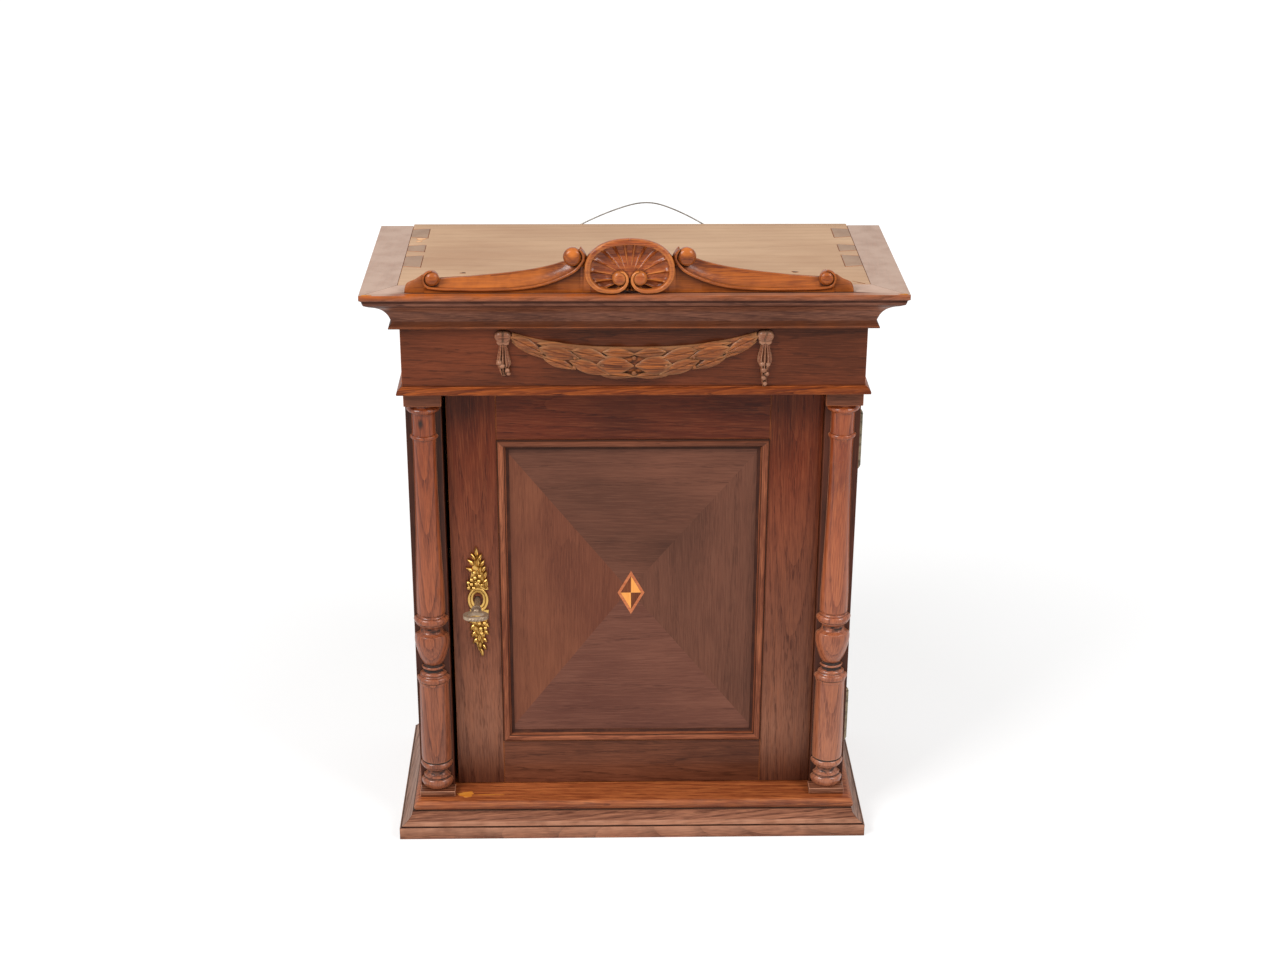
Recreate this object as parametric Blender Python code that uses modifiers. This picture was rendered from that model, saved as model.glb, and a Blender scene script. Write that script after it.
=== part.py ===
"""Hanging oak cabinet with one framed door, planted columns, a carved crest and a swag.

Metres, +Z up, the front faces -Y and the origin lies under the middle of the overall box.
The door carries the right-hand pilaster and column, and opens on two butt hinges whose
knuckles stand outside the right side. A key in the left stile throws the lock bolt.
"""

import math

import bmesh
import bpy
from mathutils import Matrix, Vector

# Gaps and overruns
JOINT_GAP = 0.0003          # between two pieces that touch
MITRE_RELIEF = 0.0002       # taken off each half of a mitre
CUT_OVERRUN = 0.002         # how far a cutter runs past what it cuts

# Case
CASE_WIDTH = 0.434
CASE_DEPTH = 0.1916         # frieze face to the back edges of the sides
SIDE_THICKNESS = 0.017
ENTABLATURE_DEPTH = 0.0523  # how far the frieze stands before the sides
OPENING_HEIGHT = 0.444      # base board to frieze
FRIEZE_HEIGHT = 0.1066      # underside of the frieze to the top of the case
FRIEZE_THICKNESS = 0.015
TOP_BOARD_THICKNESS = 0.017
TOP_BOARD_LIP = 0.0003      # how far the top board passes the back boards
BACK_BOARD_THICKNESS = 0.0053
SOFFIT_THICKNESS = 0.012
SOFFIT_DEPTH = 0.0477

# Dovetails between the sides and the top board
PIN_TAPER = 0.007           # what a pin loses in width towards the outside

# Base
BASE_PROJECTION = 0.0205    # past the sides
BASE_FRONT_STEP = 0.017     # base front before the frieze face
BASE_MOULDING_HEIGHT = 0.0257
BASE_BOARD_THICKNESS = 0.010
BASE_BOARD_PROJECTION = 0.0095
NOSING_RADIUS = 0.0062
NOSING_SEGMENTS = 5
BASE_RAIL_THICKNESS = 0.018

# Cornice and frieze moulding
CORNICE_PROJECTION = 0.0326
CORNICE_HEIGHT = 0.0396
FRIEZE_MOULDING_PROJECTION = 0.0054
FRIEZE_MOULDING_HEIGHT = 0.0073

# Inside
SHELF_THICKNESS = 0.012
SHELF_HEIGHT = 0.236        # above the base board
SHELF_SETBACK = 0.025       # behind the sides' front edges
CLEAT_WIDTH = 0.0095
CLEAT_HEIGHT = 0.0115
CLEAT_SETBACK = 0.006       # behind the shelf's front edge
STOP_LENGTH = 0.120
STOP_THICKNESS = 0.008
STOP_HEIGHT = 0.0135

# Columns and pilasters
PILASTER_WIDTH = 0.034
PILASTER_PROUD = 0.011      # before the door's face
COLUMN_RADIUS = 0.0176
COLUMN_SUNK = 0.0025        # column axis behind the pilaster face
COLUMN_STEPS = 24
BLOCK_PROJECTION = 0.015
CAPITAL_BLOCK_HEIGHT = 0.0148
PLINTH_BLOCK_HEIGHT = 0.006
BLOCK_OVERHANG = 0.0015     # past the pilaster, towards the door

# Door
DOOR_THICKNESS = 0.0202
DOOR_BACK_CLEARANCE = 0.0006
DOOR_END_CLEARANCE = 0.0008
DOOR_EDGE_GAP = 0.0036      # beside the left pilaster
PANEL_OPENING_WIDTH = 0.264
TOP_RAIL_HEIGHT = 0.0587
BOTTOM_RAIL_HEIGHT = 0.0492
PANEL_RECESS = 0.0040
PANEL_THICKNESS = 0.0076
GROOVE_DEPTH = 0.006
PANEL_MOULDING_WIDTH = 0.0115
PANEL_MOULDING_PROUD = 0.0026
LOZENGE_WIDTH = 0.0268
LOZENGE_HEIGHT = 0.0480
LOZENGE_CENTRE_DROP = -0.0018
LOZENGE_THICKNESS = 0.0012

# Hinges
HINGE_HEIGHT = 0.055
HINGE_INSET = 0.040         # hinge end to door end, at the top and at the foot
LEAF_WIDTH = 0.014
LEAF_THICKNESS = 0.0012
KNUCKLE_RADIUS = 0.0032
KNUCKLE_COUNT = 5
KNUCKLE_STEPS = 16
HINGE_PIN_RADIUS = 0.0012
HINGE_FINIAL_HEIGHT = 0.0042
HINGE_FINIAL_RADIUS = 0.0027

# Lock and key
KEY_SETBACK = 0.0252        # key to the door's free edge
KEY_HEIGHT = 0.2133         # above the base board
KEY_SHANK_RADIUS = 0.0028
KEY_TIP_RADIUS = 0.0018
KEY_REACH = 0.0455          # how far the key stands out of the door
KEY_COLLAR_RADIUS = 0.0052
KEY_BOW_WIDTH = 0.0250
KEY_BOW_LENGTH = 0.0170
KEY_BOW_THICKNESS = 0.0036
KEY_BOW_BAR = 0.0040
BIT_LENGTH = 0.0090
BIT_THICKNESS = 0.0022
BIT_WIDTH = 0.0040
KEYHOLE_CLEARANCE = 0.0006
LOCK_WIDTH = 0.0420
LOCK_HEIGHT = 0.056
LOCK_DEPTH = 0.0120
LOCK_WALL = 0.0014
LOCK_EDGE_SETBACK = 0.0010
BOLT_HEIGHT = 0.0080
BOLT_THICKNESS = 0.0045
BOLT_LENGTH = 0.039
BOLT_THROW = 0.0090
BOLT_NOTCH_WIDTH = 0.0120
BOLT_NOTCH_DEPTH = 0.0022
STRIKE_WIDTH = 0.0140
STRIKE_HEIGHT = 0.030
STRIKE_THICKNESS = 0.0011

# Escutcheon
ESCUTCHEON_RISE = 0.0560    # keyhole to the top tip
ESCUTCHEON_DROP = 0.0630    # keyhole to the bottom tip
ESCUTCHEON_WIDTH = 0.0210
ESCUTCHEON_THICKNESS = 0.0014
ESCUTCHEON_RING_HEIGHT = 0.0262
ESCUTCHEON_RING_BAR = 0.0022
ESCUTCHEON_LOBES = 5

# Crest
CREST_SHIFT = -0.0055       # the crest sits a little left of the middle
CREST_LENGTH = 0.409
CREST_SETBACK = 0.0096      # behind the cornice front edge
CREST_THICKNESS = 0.018
CREST_FIELD_STEP = 0.0022   # flat field behind the lower fillet
CREST_TOP_STEP = 0.0050     # top edge behind the lower fillet
CREST_COVE_DEPTH = 0.0062
CREST_FILLET = 0.0026
CREST_END_RISE = 0.0130     # top edge at the small volute
CREST_SWEEP = 0.0290        # what the top edge gains up to the shell
CREST_FILLET_RISE = 0.0029
CREST_FILLET_SWEEP = 0.0200
BIG_VOLUTE_RADIUS = 0.0092
BIG_VOLUTE_OFFSET = 0.0510
BIG_VOLUTE_HEIGHT = 0.0335
SMALL_VOLUTE_RADIUS = 0.0070
SMALL_VOLUTE_OFFSET = 0.1800
SMALL_VOLUTE_HEIGHT = 0.0125
VOLUTE_PROUD = 0.0026
EAR_HEIGHT = 0.0125
CREST_STATIONS = 18

# Carved shell
SHELL_WIDTH = 0.0814
SHELL_HEIGHT = 0.0522
SHELL_PROUD = 0.0035        # rim before the crest's fillet
SHELL_RIM_WIDTH = 0.0062
SHELL_DISH = 0.0058         # hollow behind the rim
SHELL_FOCUS_HEIGHT = 0.0150
SHELL_FLUTES = 13
SHELL_FLUTE_DEPTH = 0.0016
SHELL_SECTORS = 78
SHELL_EYE_RADIUS = 0.0070
SHELL_EYE_OFFSET = 0.0080
SHELL_EYE_HEIGHT = 0.0140

# Swag
SWAG_SPAN = 0.227           # between the garland's ends
SWAG_END_HEIGHT = 0.0605    # garland's upper edge at its ends, above the frieze's underside
SWAG_END_WIDTH = 0.0088
SWAG_TOP_SAG = 0.0137
SWAG_BOTTOM_SAG = 0.0340
SWAG_RELIEF = 0.0075
SWAG_END_RELIEF = 0.0032
SWAG_STATIONS = 17
ROSETTE_RADIUS = 0.0078
ROSETTE_DROP = 0.0040       # below the garland's ends
ROSETTE_RELIEF = 0.0062
TASSEL_WIDTH = 0.0135
TASSEL_RELIEF = 0.0050
TASSEL_LENGTHS = {"left": 0.0375, "right": 0.0488}

# Hanging wire and its screws
HANGER_SPAN = 0.190
HANGER_SHIFT = 0.009
HANGER_DROP = 0.0246        # screws below the top of the case
WIRE_RADIUS = 0.0007
WIRE_RISE = 0.0249          # top of the wire above the case
WIRE_PEAK_SHIFT = 0.0164
WIRE_BULGE = 0.0055
WIRE_EYE_RADIUS = 0.0026
WIRE_RUN_POINTS = 9
WIRE_EYE_POINTS = 9
SCREW_SHANK_RADIUS = 0.0015
SCREW_HEAD_RADIUS = 0.0033
SCREW_HEAD_HEIGHT = 0.0022

# Outlines as shares of the size that each follows
# Pins from the front: middle and inner width as shares of the case depth
PIN_SHARES = [(0.381, 0.20), (0.60, 0.125), (0.864, 0.175)]
CORNICE_SHARES = [(1.0, 1.0), (1.0, 0.874), (0.933, 0.833), (0.89, 0.732), (0.764, 0.667),
                  (0.60, 0.61), (0.463, 0.533), (0.304, 0.379), (0.221, 0.235),
                  (0.206, 0.149), (0.261, 0.073), (0.294, 0.02), (0.294, 0.0)]
BASE_SHARES = [(0.39, 1.0), (0.42, 0.88), (0.498, 0.778), (0.58, 0.68), (0.688, 0.611),
               (0.82, 0.54), (0.946, 0.502), (1.0, 0.482), (1.0, 0.0)]
FRIEZE_MOULDING_SHARES = [(0.22, 1.0), (0.28, 0.9), (0.59, 0.71), (0.89, 0.44), (1.0, 0.16),
                          (0.93, 0.0)]
# Across the moulding from the frame to the panel, and up from the panel to the crown
PANEL_MOULDING_SHARES = [(1.0, 0.0), (1.0, 0.05), (0.80, 0.13), (0.64, 0.30), (0.60, 0.62),
                         (0.55, 0.80), (0.42, 0.96), (0.28, 1.0), (0.12, 0.92), (0.0, 0.72)]
# Column stages from the top: share of the height, then radius shares at shares of the stage
COLUMN_STAGE_SHARES = [
    (0.0270, [(0.76, 0.0), (0.76, 0.2), (0.89, 0.32), (0.92, 0.46), (0.92, 0.56),
              (0.84, 0.68), (0.70, 0.83)]),
    (0.0379, [(0.665, 0.0), (0.66, 1.0)]),
    (0.0258, [(0.72, 0.2), (0.76, 0.42), (0.76, 0.58), (0.72, 0.74), (0.685, 0.78),
              (0.685, 0.9)]),
    (0.4374, [(0.65, 0.0), (0.655, 0.2), (0.665, 0.34), (0.70, 0.55), (0.74, 0.69),
              (0.79, 0.84), (0.82, 0.96)]),
    (0.0268, [(0.885, 0.06), (0.96, 0.2), (0.99, 0.42), (0.97, 0.6), (0.92, 0.68),
              (0.94, 0.8), (0.93, 0.96)]),
    (0.0142, [(0.85, 0.05), (0.81, 0.42), (0.85, 0.85)]),
    (0.0953, [(0.94, 0.03), (0.99, 0.09), (1.0, 0.18), (0.98, 0.32), (0.93, 0.48),
              (0.84, 0.64), (0.73, 0.8), (0.62, 0.93), (0.58, 1.0)]),
    (0.0142, [(0.64, 0.25), (0.65, 0.5), (0.60, 0.72)]),
    (0.0308, [(0.62, 0.0), (0.76, 0.17), (0.90, 0.36), (0.93, 0.52), (0.92, 0.68),
              (0.875, 0.76), (0.885, 0.93)]),
    (0.2114, [(0.855, 0.0), (0.865, 0.2), (0.89, 0.6), (0.885, 0.99)]),
    (0.0270, [(0.91, 0.12), (0.92, 0.34), (0.905, 0.54), (0.875, 0.62), (0.89, 0.8),
              (0.855, 0.96)]),
    (0.0251, [(0.75, 0.08), (0.69, 0.4), (0.69, 0.66), (0.75, 0.94)]),
    (0.0270, [(0.86, 0.05), (0.93, 0.28), (0.93, 0.56), (0.87, 0.84), (0.785, 1.0)]),
]
VOLUTE_SHARES = [(0.0, 1.0), (0.30, 1.0), (0.46, 0.82), (0.52, 0.50), (0.64, 0.50),
                 (0.74, 0.80), (0.88, 0.84), (1.0, 0.60), (1.0, 0.0)]
ROSETTE_SHARES = [(0.0, 1.0), (0.42, 0.92), (0.60, 0.70), (0.78, 0.80), (0.95, 0.62),
                  (1.0, 0.30), (1.0, 0.0)]
# Key from the bow's root to the tip: radius share of the collar, share of the key's reach
KEY_COLLAR_SHARES = [(0.54, 0.66), (0.80, 0.63), (0.80, 0.60), (0.62, 0.58), (1.0, 0.55),
                     (1.0, 0.51), (0.70, 0.48), (0.70, 0.45), (0.54, 0.42)]
EAR_SHARES = [(0.0, 0.0), (0.0, 0.9), (0.22, 1.0), (0.44, 0.92), (0.66, 0.62), (0.88, 0.34),
              (1.0, 0.0)]
# Tassel down from the rosette: half-width share and length share
TASSEL_SHARES = [(0.62, 0.0), (0.66, 0.20), (0.80, 0.42), (1.0, 0.60), (0.94, 0.70),
                 (0.62, 0.76), (0.58, 0.90), (0.44, 1.0)]

# Finishes: sRGB colour, roughness and metallic
OAK = ("8A4A32", 0.42, 0.0)
OAK_DARK = ("5E3426", 0.45, 0.0)
OAK_COLUMN = ("9A583C", 0.38, 0.0)
OAK_BARE = ("BFA083", 0.70, 0.0)
PINE = ("B08D66", 0.75, 0.0)
WALNUT_VENEER = ("6F4536", 0.45, 0.0)
INLAY_MAPLE = ("F0A45C", 0.40, 0.0)
OAK_WEATHERED = ("806048", 0.60, 0.0)
GILT_BRASS = ("D4A23C", 0.30, 1.0)
PATINATED_BRASS = ("6E6446", 0.50, 1.0)
STEEL = ("6A645E", 0.40, 1.0)

# Planes worked out from the sizes above
HALF_CASE = CASE_WIDTH / 2
SCREW_HEAD_FOOT = 2 * (JOINT_GAP + WIRE_RADIUS)
HANGER_REACH = SCREW_HEAD_FOOT + SCREW_HEAD_HEIGHT
TOTAL_DEPTH = (CORNICE_PROJECTION + CASE_DEPTH + JOINT_GAP + BACK_BOARD_THICKNESS
               + HANGER_REACH)
FRONT_Y = -TOTAL_DEPTH / 2
FRIEZE_Y = FRONT_Y + CORNICE_PROJECTION
FRIEZE_INNER_Y = FRIEZE_Y + FRIEZE_THICKNESS + JOINT_GAP
SIDE_Y = FRIEZE_Y + ENTABLATURE_DEPTH
BACK_Y = FRIEZE_Y + CASE_DEPTH
REAR_Y = BACK_Y + JOINT_GAP + BACK_BOARD_THICKNESS
BASE_FRONT_Y = FRIEZE_Y - BASE_FRONT_STEP
DOOR_BACK_Y = SIDE_Y - DOOR_BACK_CLEARANCE
DOOR_Y = DOOR_BACK_Y - DOOR_THICKNESS
PILASTER_Y = DOOR_Y - PILASTER_PROUD
BLOCK_Y = PILASTER_Y - BLOCK_PROJECTION
PANEL_Y = DOOR_Y + PANEL_RECESS

FLOOR_Z = BASE_MOULDING_HEIGHT + JOINT_GAP + BASE_BOARD_THICKNESS
FRIEZE_Z = FLOOR_Z + OPENING_HEIGHT
TOP_Z = FRIEZE_Z + FRIEZE_HEIGHT
PIN_ROOT_Z = TOP_Z - TOP_BOARD_THICKNESS - JOINT_GAP
DOOR_FOOT_Z = FLOOR_Z + DOOR_END_CLEARANCE
DOOR_HEAD_Z = FRIEZE_Z - DOOR_END_CLEARANCE
OPENING_FOOT_Z = DOOR_FOOT_Z + BOTTOM_RAIL_HEIGHT
OPENING_HEAD_Z = DOOR_HEAD_Z - TOP_RAIL_HEIGHT

POST_X = HALF_CASE - PILASTER_WIDTH
COLUMN_X = HALF_CASE - PILASTER_WIDTH / 2
DOOR_LEFT_X = -POST_X + DOOR_EDGE_GAP
HALF_PANEL = PANEL_OPENING_WIDTH / 2
HINGE_X = HALF_CASE + JOINT_GAP + KNUCKLE_RADIUS
HINGE_Y = SIDE_Y - DOOR_BACK_CLEARANCE / 2
KEY_X = DOOR_LEFT_X + KEY_SETBACK
KEY_Z = FLOOR_Z + KEY_HEIGHT
BOLT_FOOT_Z = KEY_Z + BIT_LENGTH + JOINT_GAP - BOLT_NOTCH_DEPTH

FRONT_VIEW = Matrix.Rotation(math.pi / 2, 4, "X")
SIDE_VIEW = Matrix(((0, 0, 1, 0), (1, 0, 0, 0), (0, 1, 0, 0), (0, 0, 0, 1)))
PLAN_VIEW = Matrix.Identity(4)


# Scene, finishes and placing

def clear_scene():
    for item in list(bpy.data.objects):
        bpy.data.objects.remove(item, do_unlink=True)


def new_collection(name):
    group = bpy.data.collections.new(name)
    bpy.context.scene.collection.children.link(group)
    return group


def linear(code):
    channels = [int(code[i:i + 2], 16) / 255 for i in (0, 2, 4)]
    return [c / 12.92 if c <= 0.04045 else ((c + 0.055) / 1.055) ** 2.4 for c in channels]


def add_finish(piece, finish):
    code, roughness, metallic = finish
    material = bpy.data.materials.new(f"{piece.name}_finish")
    material.use_nodes = True
    shader = material.node_tree.nodes["Principled BSDF"]
    shader.inputs["Base Color"].default_value = (*linear(code), 1.0)
    shader.inputs["Roughness"].default_value = roughness
    shader.inputs["Metallic"].default_value = metallic
    piece.data.materials.append(material)


def place_of(carrier):
    place = Vector()
    while carrier:
        place += carrier.location
        carrier = carrier.parent
    return place


def add_piece(name, mesh, finish, place=(0, 0, 0), carrier=None, turn=None):
    """A named sub-part at a world place, carried by an empty on its joint's axis."""
    piece = bpy.data.objects.new(name, mesh)
    PARTS.objects.link(piece)
    piece.location = Vector(place) - place_of(carrier)
    piece.parent = carrier
    if turn:
        piece.rotation_euler = turn.to_euler()
    add_finish(piece, finish)
    return piece


def add_cutter(name, mesh, place=(0, 0, 0), turn=None):
    cutter = bpy.data.objects.new(name, mesh)
    CUTTERS.objects.link(cutter)
    cutter.location = place
    if turn:
        cutter.rotation_euler = turn.to_euler()
    cutter.hide_render = True
    cutter.display_type = "WIRE"
    return cutter


def combine(piece, other, operation):
    modifier = piece.modifiers.new(other.name, "BOOLEAN")
    modifier.operation = operation
    modifier.solver = "EXACT"
    modifier.object = other


def add_axis(name, place, carrier=None):
    axis = bpy.data.objects.new(name, None)
    PARTS.objects.link(axis)
    axis.location = Vector(place) - place_of(carrier)
    axis.parent = carrier
    return axis


# Shapes

def box_mesh(name, size):
    bm = bmesh.new()
    bmesh.ops.create_cube(bm, size=1)
    bmesh.ops.scale(bm, vec=size, verts=bm.verts)
    mesh = bpy.data.meshes.new(name)
    bm.to_mesh(mesh)
    bm.free()
    return mesh


def add_box(name, low, high, finish, carrier=None):
    low, high = Vector(low), Vector(high)
    return add_piece(name, box_mesh(name, high - low), finish, (low + high) / 2, carrier)


def add_box_cutter(name, low, high):
    low, high = Vector(low), Vector(high)
    return add_cutter(name, box_mesh(name, high - low), (low + high) / 2)


def outline_mesh(name, outlines, thickness, view=FRONT_VIEW):
    """Flat closed outlines, filled and given a thickness centred on their plane."""
    curve = bpy.data.curves.new(name, "CURVE")
    curve.dimensions = "2D"
    curve.fill_mode = "BOTH"
    curve.extrude = thickness / 2
    for outline in outlines:
        spline = curve.splines.new("POLY")
        spline.points.add(len(outline) - 1)
        for point, (across, up) in zip(spline.points, outline):
            point.co = (across, up, 0, 1)
        spline.use_cyclic_u = True
    flat = bpy.data.objects.new(name, curve)
    CUTTERS.objects.link(flat)
    bpy.context.view_layer.update()
    mesh = bpy.data.meshes.new_from_object(flat.evaluated_get(bpy.context.evaluated_depsgraph_get()))
    bpy.data.objects.remove(flat)
    bpy.data.curves.remove(curve)
    bm = bmesh.new()
    bm.from_mesh(mesh)
    bmesh.ops.remove_doubles(bm, verts=bm.verts, dist=JOINT_GAP / 30)
    bmesh.ops.transform(bm, matrix=view, verts=bm.verts)
    bmesh.ops.recalc_face_normals(bm, faces=bm.faces)
    bm.to_mesh(mesh)
    bm.free()
    mesh.name = name
    mesh.materials.clear()
    return mesh


def profile_mesh(name, profile, closed=False):
    """A turned profile of radius and height pairs, as edges for a Screw."""
    mesh = bpy.data.meshes.new(name)
    count = len(profile)
    edges = [(i, i + 1) for i in range(count - 1)]
    if closed:
        edges.append((count - 1, 0))
    mesh.from_pydata([(radius, 0, height) for radius, height in profile], edges, [])
    return mesh


def turn_profile(piece, steps):
    screw = piece.modifiers.new("turning", "SCREW")
    screw.axis = "Z"
    screw.steps = steps
    screw.render_steps = steps
    screw.use_merge_vertices = True
    screw.merge_threshold = JOINT_GAP / 30
    screw.use_smooth_shade = True
    return piece


def loft_mesh(name, sections):
    """Sections of equal point counts joined side by side, with both ends closed."""
    bm = bmesh.new()
    rings = [[bm.verts.new(point) for point in section] for section in sections]
    for ring, following in zip(rings, rings[1:]):
        for i, vert in enumerate(ring):
            j = (i + 1) % len(ring)
            bm.faces.new((vert, ring[j], following[j], following[i]))
    bm.faces.new(rings[0])
    bm.faces.new(rings[-1])
    bmesh.ops.recalc_face_normals(bm, faces=bm.faces)
    mesh = bpy.data.meshes.new(name)
    bm.to_mesh(mesh)
    bm.free()
    return mesh


def moulding_mesh(name, profile, length, start_slope, end_slope):
    """A moulding along +X that stands out towards -Y.

    Each end is cut by a slope: x moves by the slope times the distance out from the wall.
    """
    bm = bmesh.new()
    start = bm.faces.new([bm.verts.new((0, -out, up)) for out, up in profile])
    result = bmesh.ops.extrude_face_region(bm, geom=[start])
    far = [item for item in result["geom"] if isinstance(item, bmesh.types.BMVert)]
    for vert in bm.verts:
        vert.co.x = -vert.co.y * start_slope
    for vert in far:
        vert.co.x = length - vert.co.y * end_slope
    bmesh.ops.recalc_face_normals(bm, faces=bm.faces)
    mesh = bpy.data.meshes.new(name)
    bm.to_mesh(mesh)
    bm.free()
    return mesh


def wall_profile(shares, projection, height):
    """Profile of a moulding planted on a wall, with the joint gap behind it."""
    face = [(across * projection, up * height) for across, up in shares]
    return [(JOINT_GAP, face[0][1])] + face + [(JOINT_GAP, face[-1][1])]


def add_mitred_run(stem, profile, half_width, wall_y, end_y, foot_z, finish):
    """Front and two side mouldings that meet in mitres at the front corners."""
    relief = MITRE_RELIEF
    front = moulding_mesh(f"{stem}_front", profile, 2 * (half_width - relief), -1, 1)
    add_piece(f"{stem}_front", front, finish, (-half_width + relief, wall_y, foot_z))
    side_length = end_y - wall_y - relief
    right = moulding_mesh(f"{stem}_right", profile, side_length, -1, 0)
    add_piece(f"{stem}_right", right, finish, (half_width, wall_y + relief, foot_z),
              turn=Matrix.Rotation(math.pi / 2, 4, "Z"))
    left = moulding_mesh(f"{stem}_left", profile, side_length, 0, 1)
    add_piece(f"{stem}_left", left, finish, (-half_width, end_y, foot_z),
              turn=Matrix.Rotation(-math.pi / 2, 4, "Z"))


# Base

def build_base():
    wall_y = BASE_FRONT_Y + BASE_PROJECTION
    profile = wall_profile(BASE_SHARES, BASE_PROJECTION, BASE_MOULDING_HEIGHT)
    add_mitred_run("base_moulding", profile, HALF_CASE, wall_y, BACK_Y, 0, OAK)
    add_box("base_rail_back", (-HALF_CASE, BACK_Y - BASE_RAIL_THICKNESS, 0),
            (HALF_CASE, BACK_Y - JOINT_GAP, BASE_MOULDING_HEIGHT), PINE)
    half = HALF_CASE + BASE_BOARD_PROJECTION
    front = wall_y - BASE_BOARD_PROJECTION
    board = add_box("base_board", (-half, front, FLOOR_Z - BASE_BOARD_THICKNESS),
                    (half, BACK_Y, FLOOR_Z), OAK)
    round_nosing(board)


def round_nosing(board):
    """Rounds the upper front and side edges of the base board."""
    bm = bmesh.new()
    bm.from_mesh(board.data)
    top = max(vert.co.z for vert in bm.verts)
    back = max(vert.co.y for vert in bm.verts)
    edges = [edge for edge in bm.edges
             if all(vert.co.z == top for vert in edge.verts)
             and not all(vert.co.y == back for vert in edge.verts)]
    bmesh.ops.bevel(bm, geom=edges, offset=NOSING_RADIUS, segments=NOSING_SEGMENTS,
                    profile=0.5, affect="EDGES")
    bm.to_mesh(board.data)
    bm.free()


# Case

def pin_edges(way, x, grow=0):
    """Each pin's front (way -1) or back edge at a distance x from the middle of the case."""
    outward = (x - (HALF_CASE - SIDE_THICKNESS)) / SIDE_THICKNESS
    return [FRIEZE_Y + CASE_DEPTH * middle
            + way * ((CASE_DEPTH * width - PIN_TAPER * outward) / 2 + grow)
            for middle, width in PIN_SHARES]


def pin_outlines(side):
    """Plan of the top board's sockets, a joint gap larger than the pins."""
    inner = HALF_CASE - SIDE_THICKNESS - JOINT_GAP
    outer = HALF_CASE + CUT_OVERRUN
    corners = [[(side * x, y) for y in pin_edges(way, x, JOINT_GAP)]
               for way, x in ((-1, inner), (-1, outer), (1, outer), (1, inner))]
    return [list(outline) for outline in zip(*corners)]


def tail_outlines(side):
    """Plan of what is cut from a side's top between its pins."""
    inner = HALF_CASE - SIDE_THICKNESS - CUT_OVERRUN
    outer = HALF_CASE + CUT_OVERRUN
    front, back = [FRIEZE_INNER_Y - CUT_OVERRUN], [BACK_Y + CUT_OVERRUN]
    corners = [[(side * x, y) for y in ys]
               for x, ys in ((inner, front + pin_edges(1, inner)),
                             (outer, front + pin_edges(1, outer)),
                             (outer, pin_edges(-1, outer) + back),
                             (inner, pin_edges(-1, inner) + back))]
    return [list(outline) for outline in zip(*corners)]


def build_side(name, side):
    foot = FLOOR_Z + JOINT_GAP
    outline = [(SIDE_Y, foot), (BACK_Y, foot), (BACK_Y, TOP_Z), (FRIEZE_INNER_Y, TOP_Z),
               (FRIEZE_INNER_Y, FRIEZE_Z), (SIDE_Y, FRIEZE_Z)]
    mesh = outline_mesh(name, [outline], SIDE_THICKNESS, SIDE_VIEW)
    board = add_piece(name, mesh, OAK_DARK, (side * (HALF_CASE - SIDE_THICKNESS / 2), 0, 0))
    height = TOP_Z - PIN_ROOT_Z + CUT_OVERRUN
    tails = outline_mesh(f"{name}_tails", tail_outlines(side), height, PLAN_VIEW)
    cutter = add_cutter(f"{name}_tails", tails, (0, 0, PIN_ROOT_Z + height / 2))
    combine(board, cutter, "DIFFERENCE")
    return board


def build_top_board():
    board = add_box("top_board", (-HALF_CASE, FRIEZE_Y, TOP_Z - TOP_BOARD_THICKNESS),
                    (HALF_CASE, REAR_Y + TOP_BOARD_LIP, TOP_Z), OAK_BARE)
    height = TOP_BOARD_THICKNESS + 2 * CUT_OVERRUN
    outlines = pin_outlines(-1) + pin_outlines(1)
    sockets = outline_mesh("top_board_sockets", outlines, height, PLAN_VIEW)
    cutter = add_cutter("top_board_sockets", sockets, (0, 0, TOP_Z - TOP_BOARD_THICKNESS / 2))
    combine(board, cutter, "DIFFERENCE")


def build_back_boards():
    foot = FLOOR_Z - BASE_BOARD_THICKNESS
    low_y = BACK_Y + JOINT_GAP
    head = TOP_Z - TOP_BOARD_THICKNESS - JOINT_GAP
    for name, start, end in (("back_board_left", -HALF_CASE, -JOINT_GAP / 2),
                             ("back_board_right", JOINT_GAP / 2, HALF_CASE)):
        board = add_box(name, (start, low_y, foot), (end, REAR_Y, head), PINE)
        screw_x = start + end > 0
        cut_screw_hole(board, hanger_x(1 if screw_x else -1))


def cut_screw_hole(board, x):
    reach = (BACK_BOARD_THICKNESS + 2 * CUT_OVERRUN) / 2
    radius = SCREW_SHANK_RADIUS + JOINT_GAP
    hole = profile_mesh(f"{board.name}_hole", [(0, reach), (radius, reach), (radius, -reach),
                                               (0, -reach)])
    centre_y = (BACK_Y + JOINT_GAP + REAR_Y) / 2
    cutter = add_cutter(f"{board.name}_hole", hole, (x, centre_y, TOP_Z - HANGER_DROP),
                        FRONT_VIEW)
    turn_profile(cutter, KNUCKLE_STEPS)
    combine(board, cutter, "DIFFERENCE")


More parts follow.
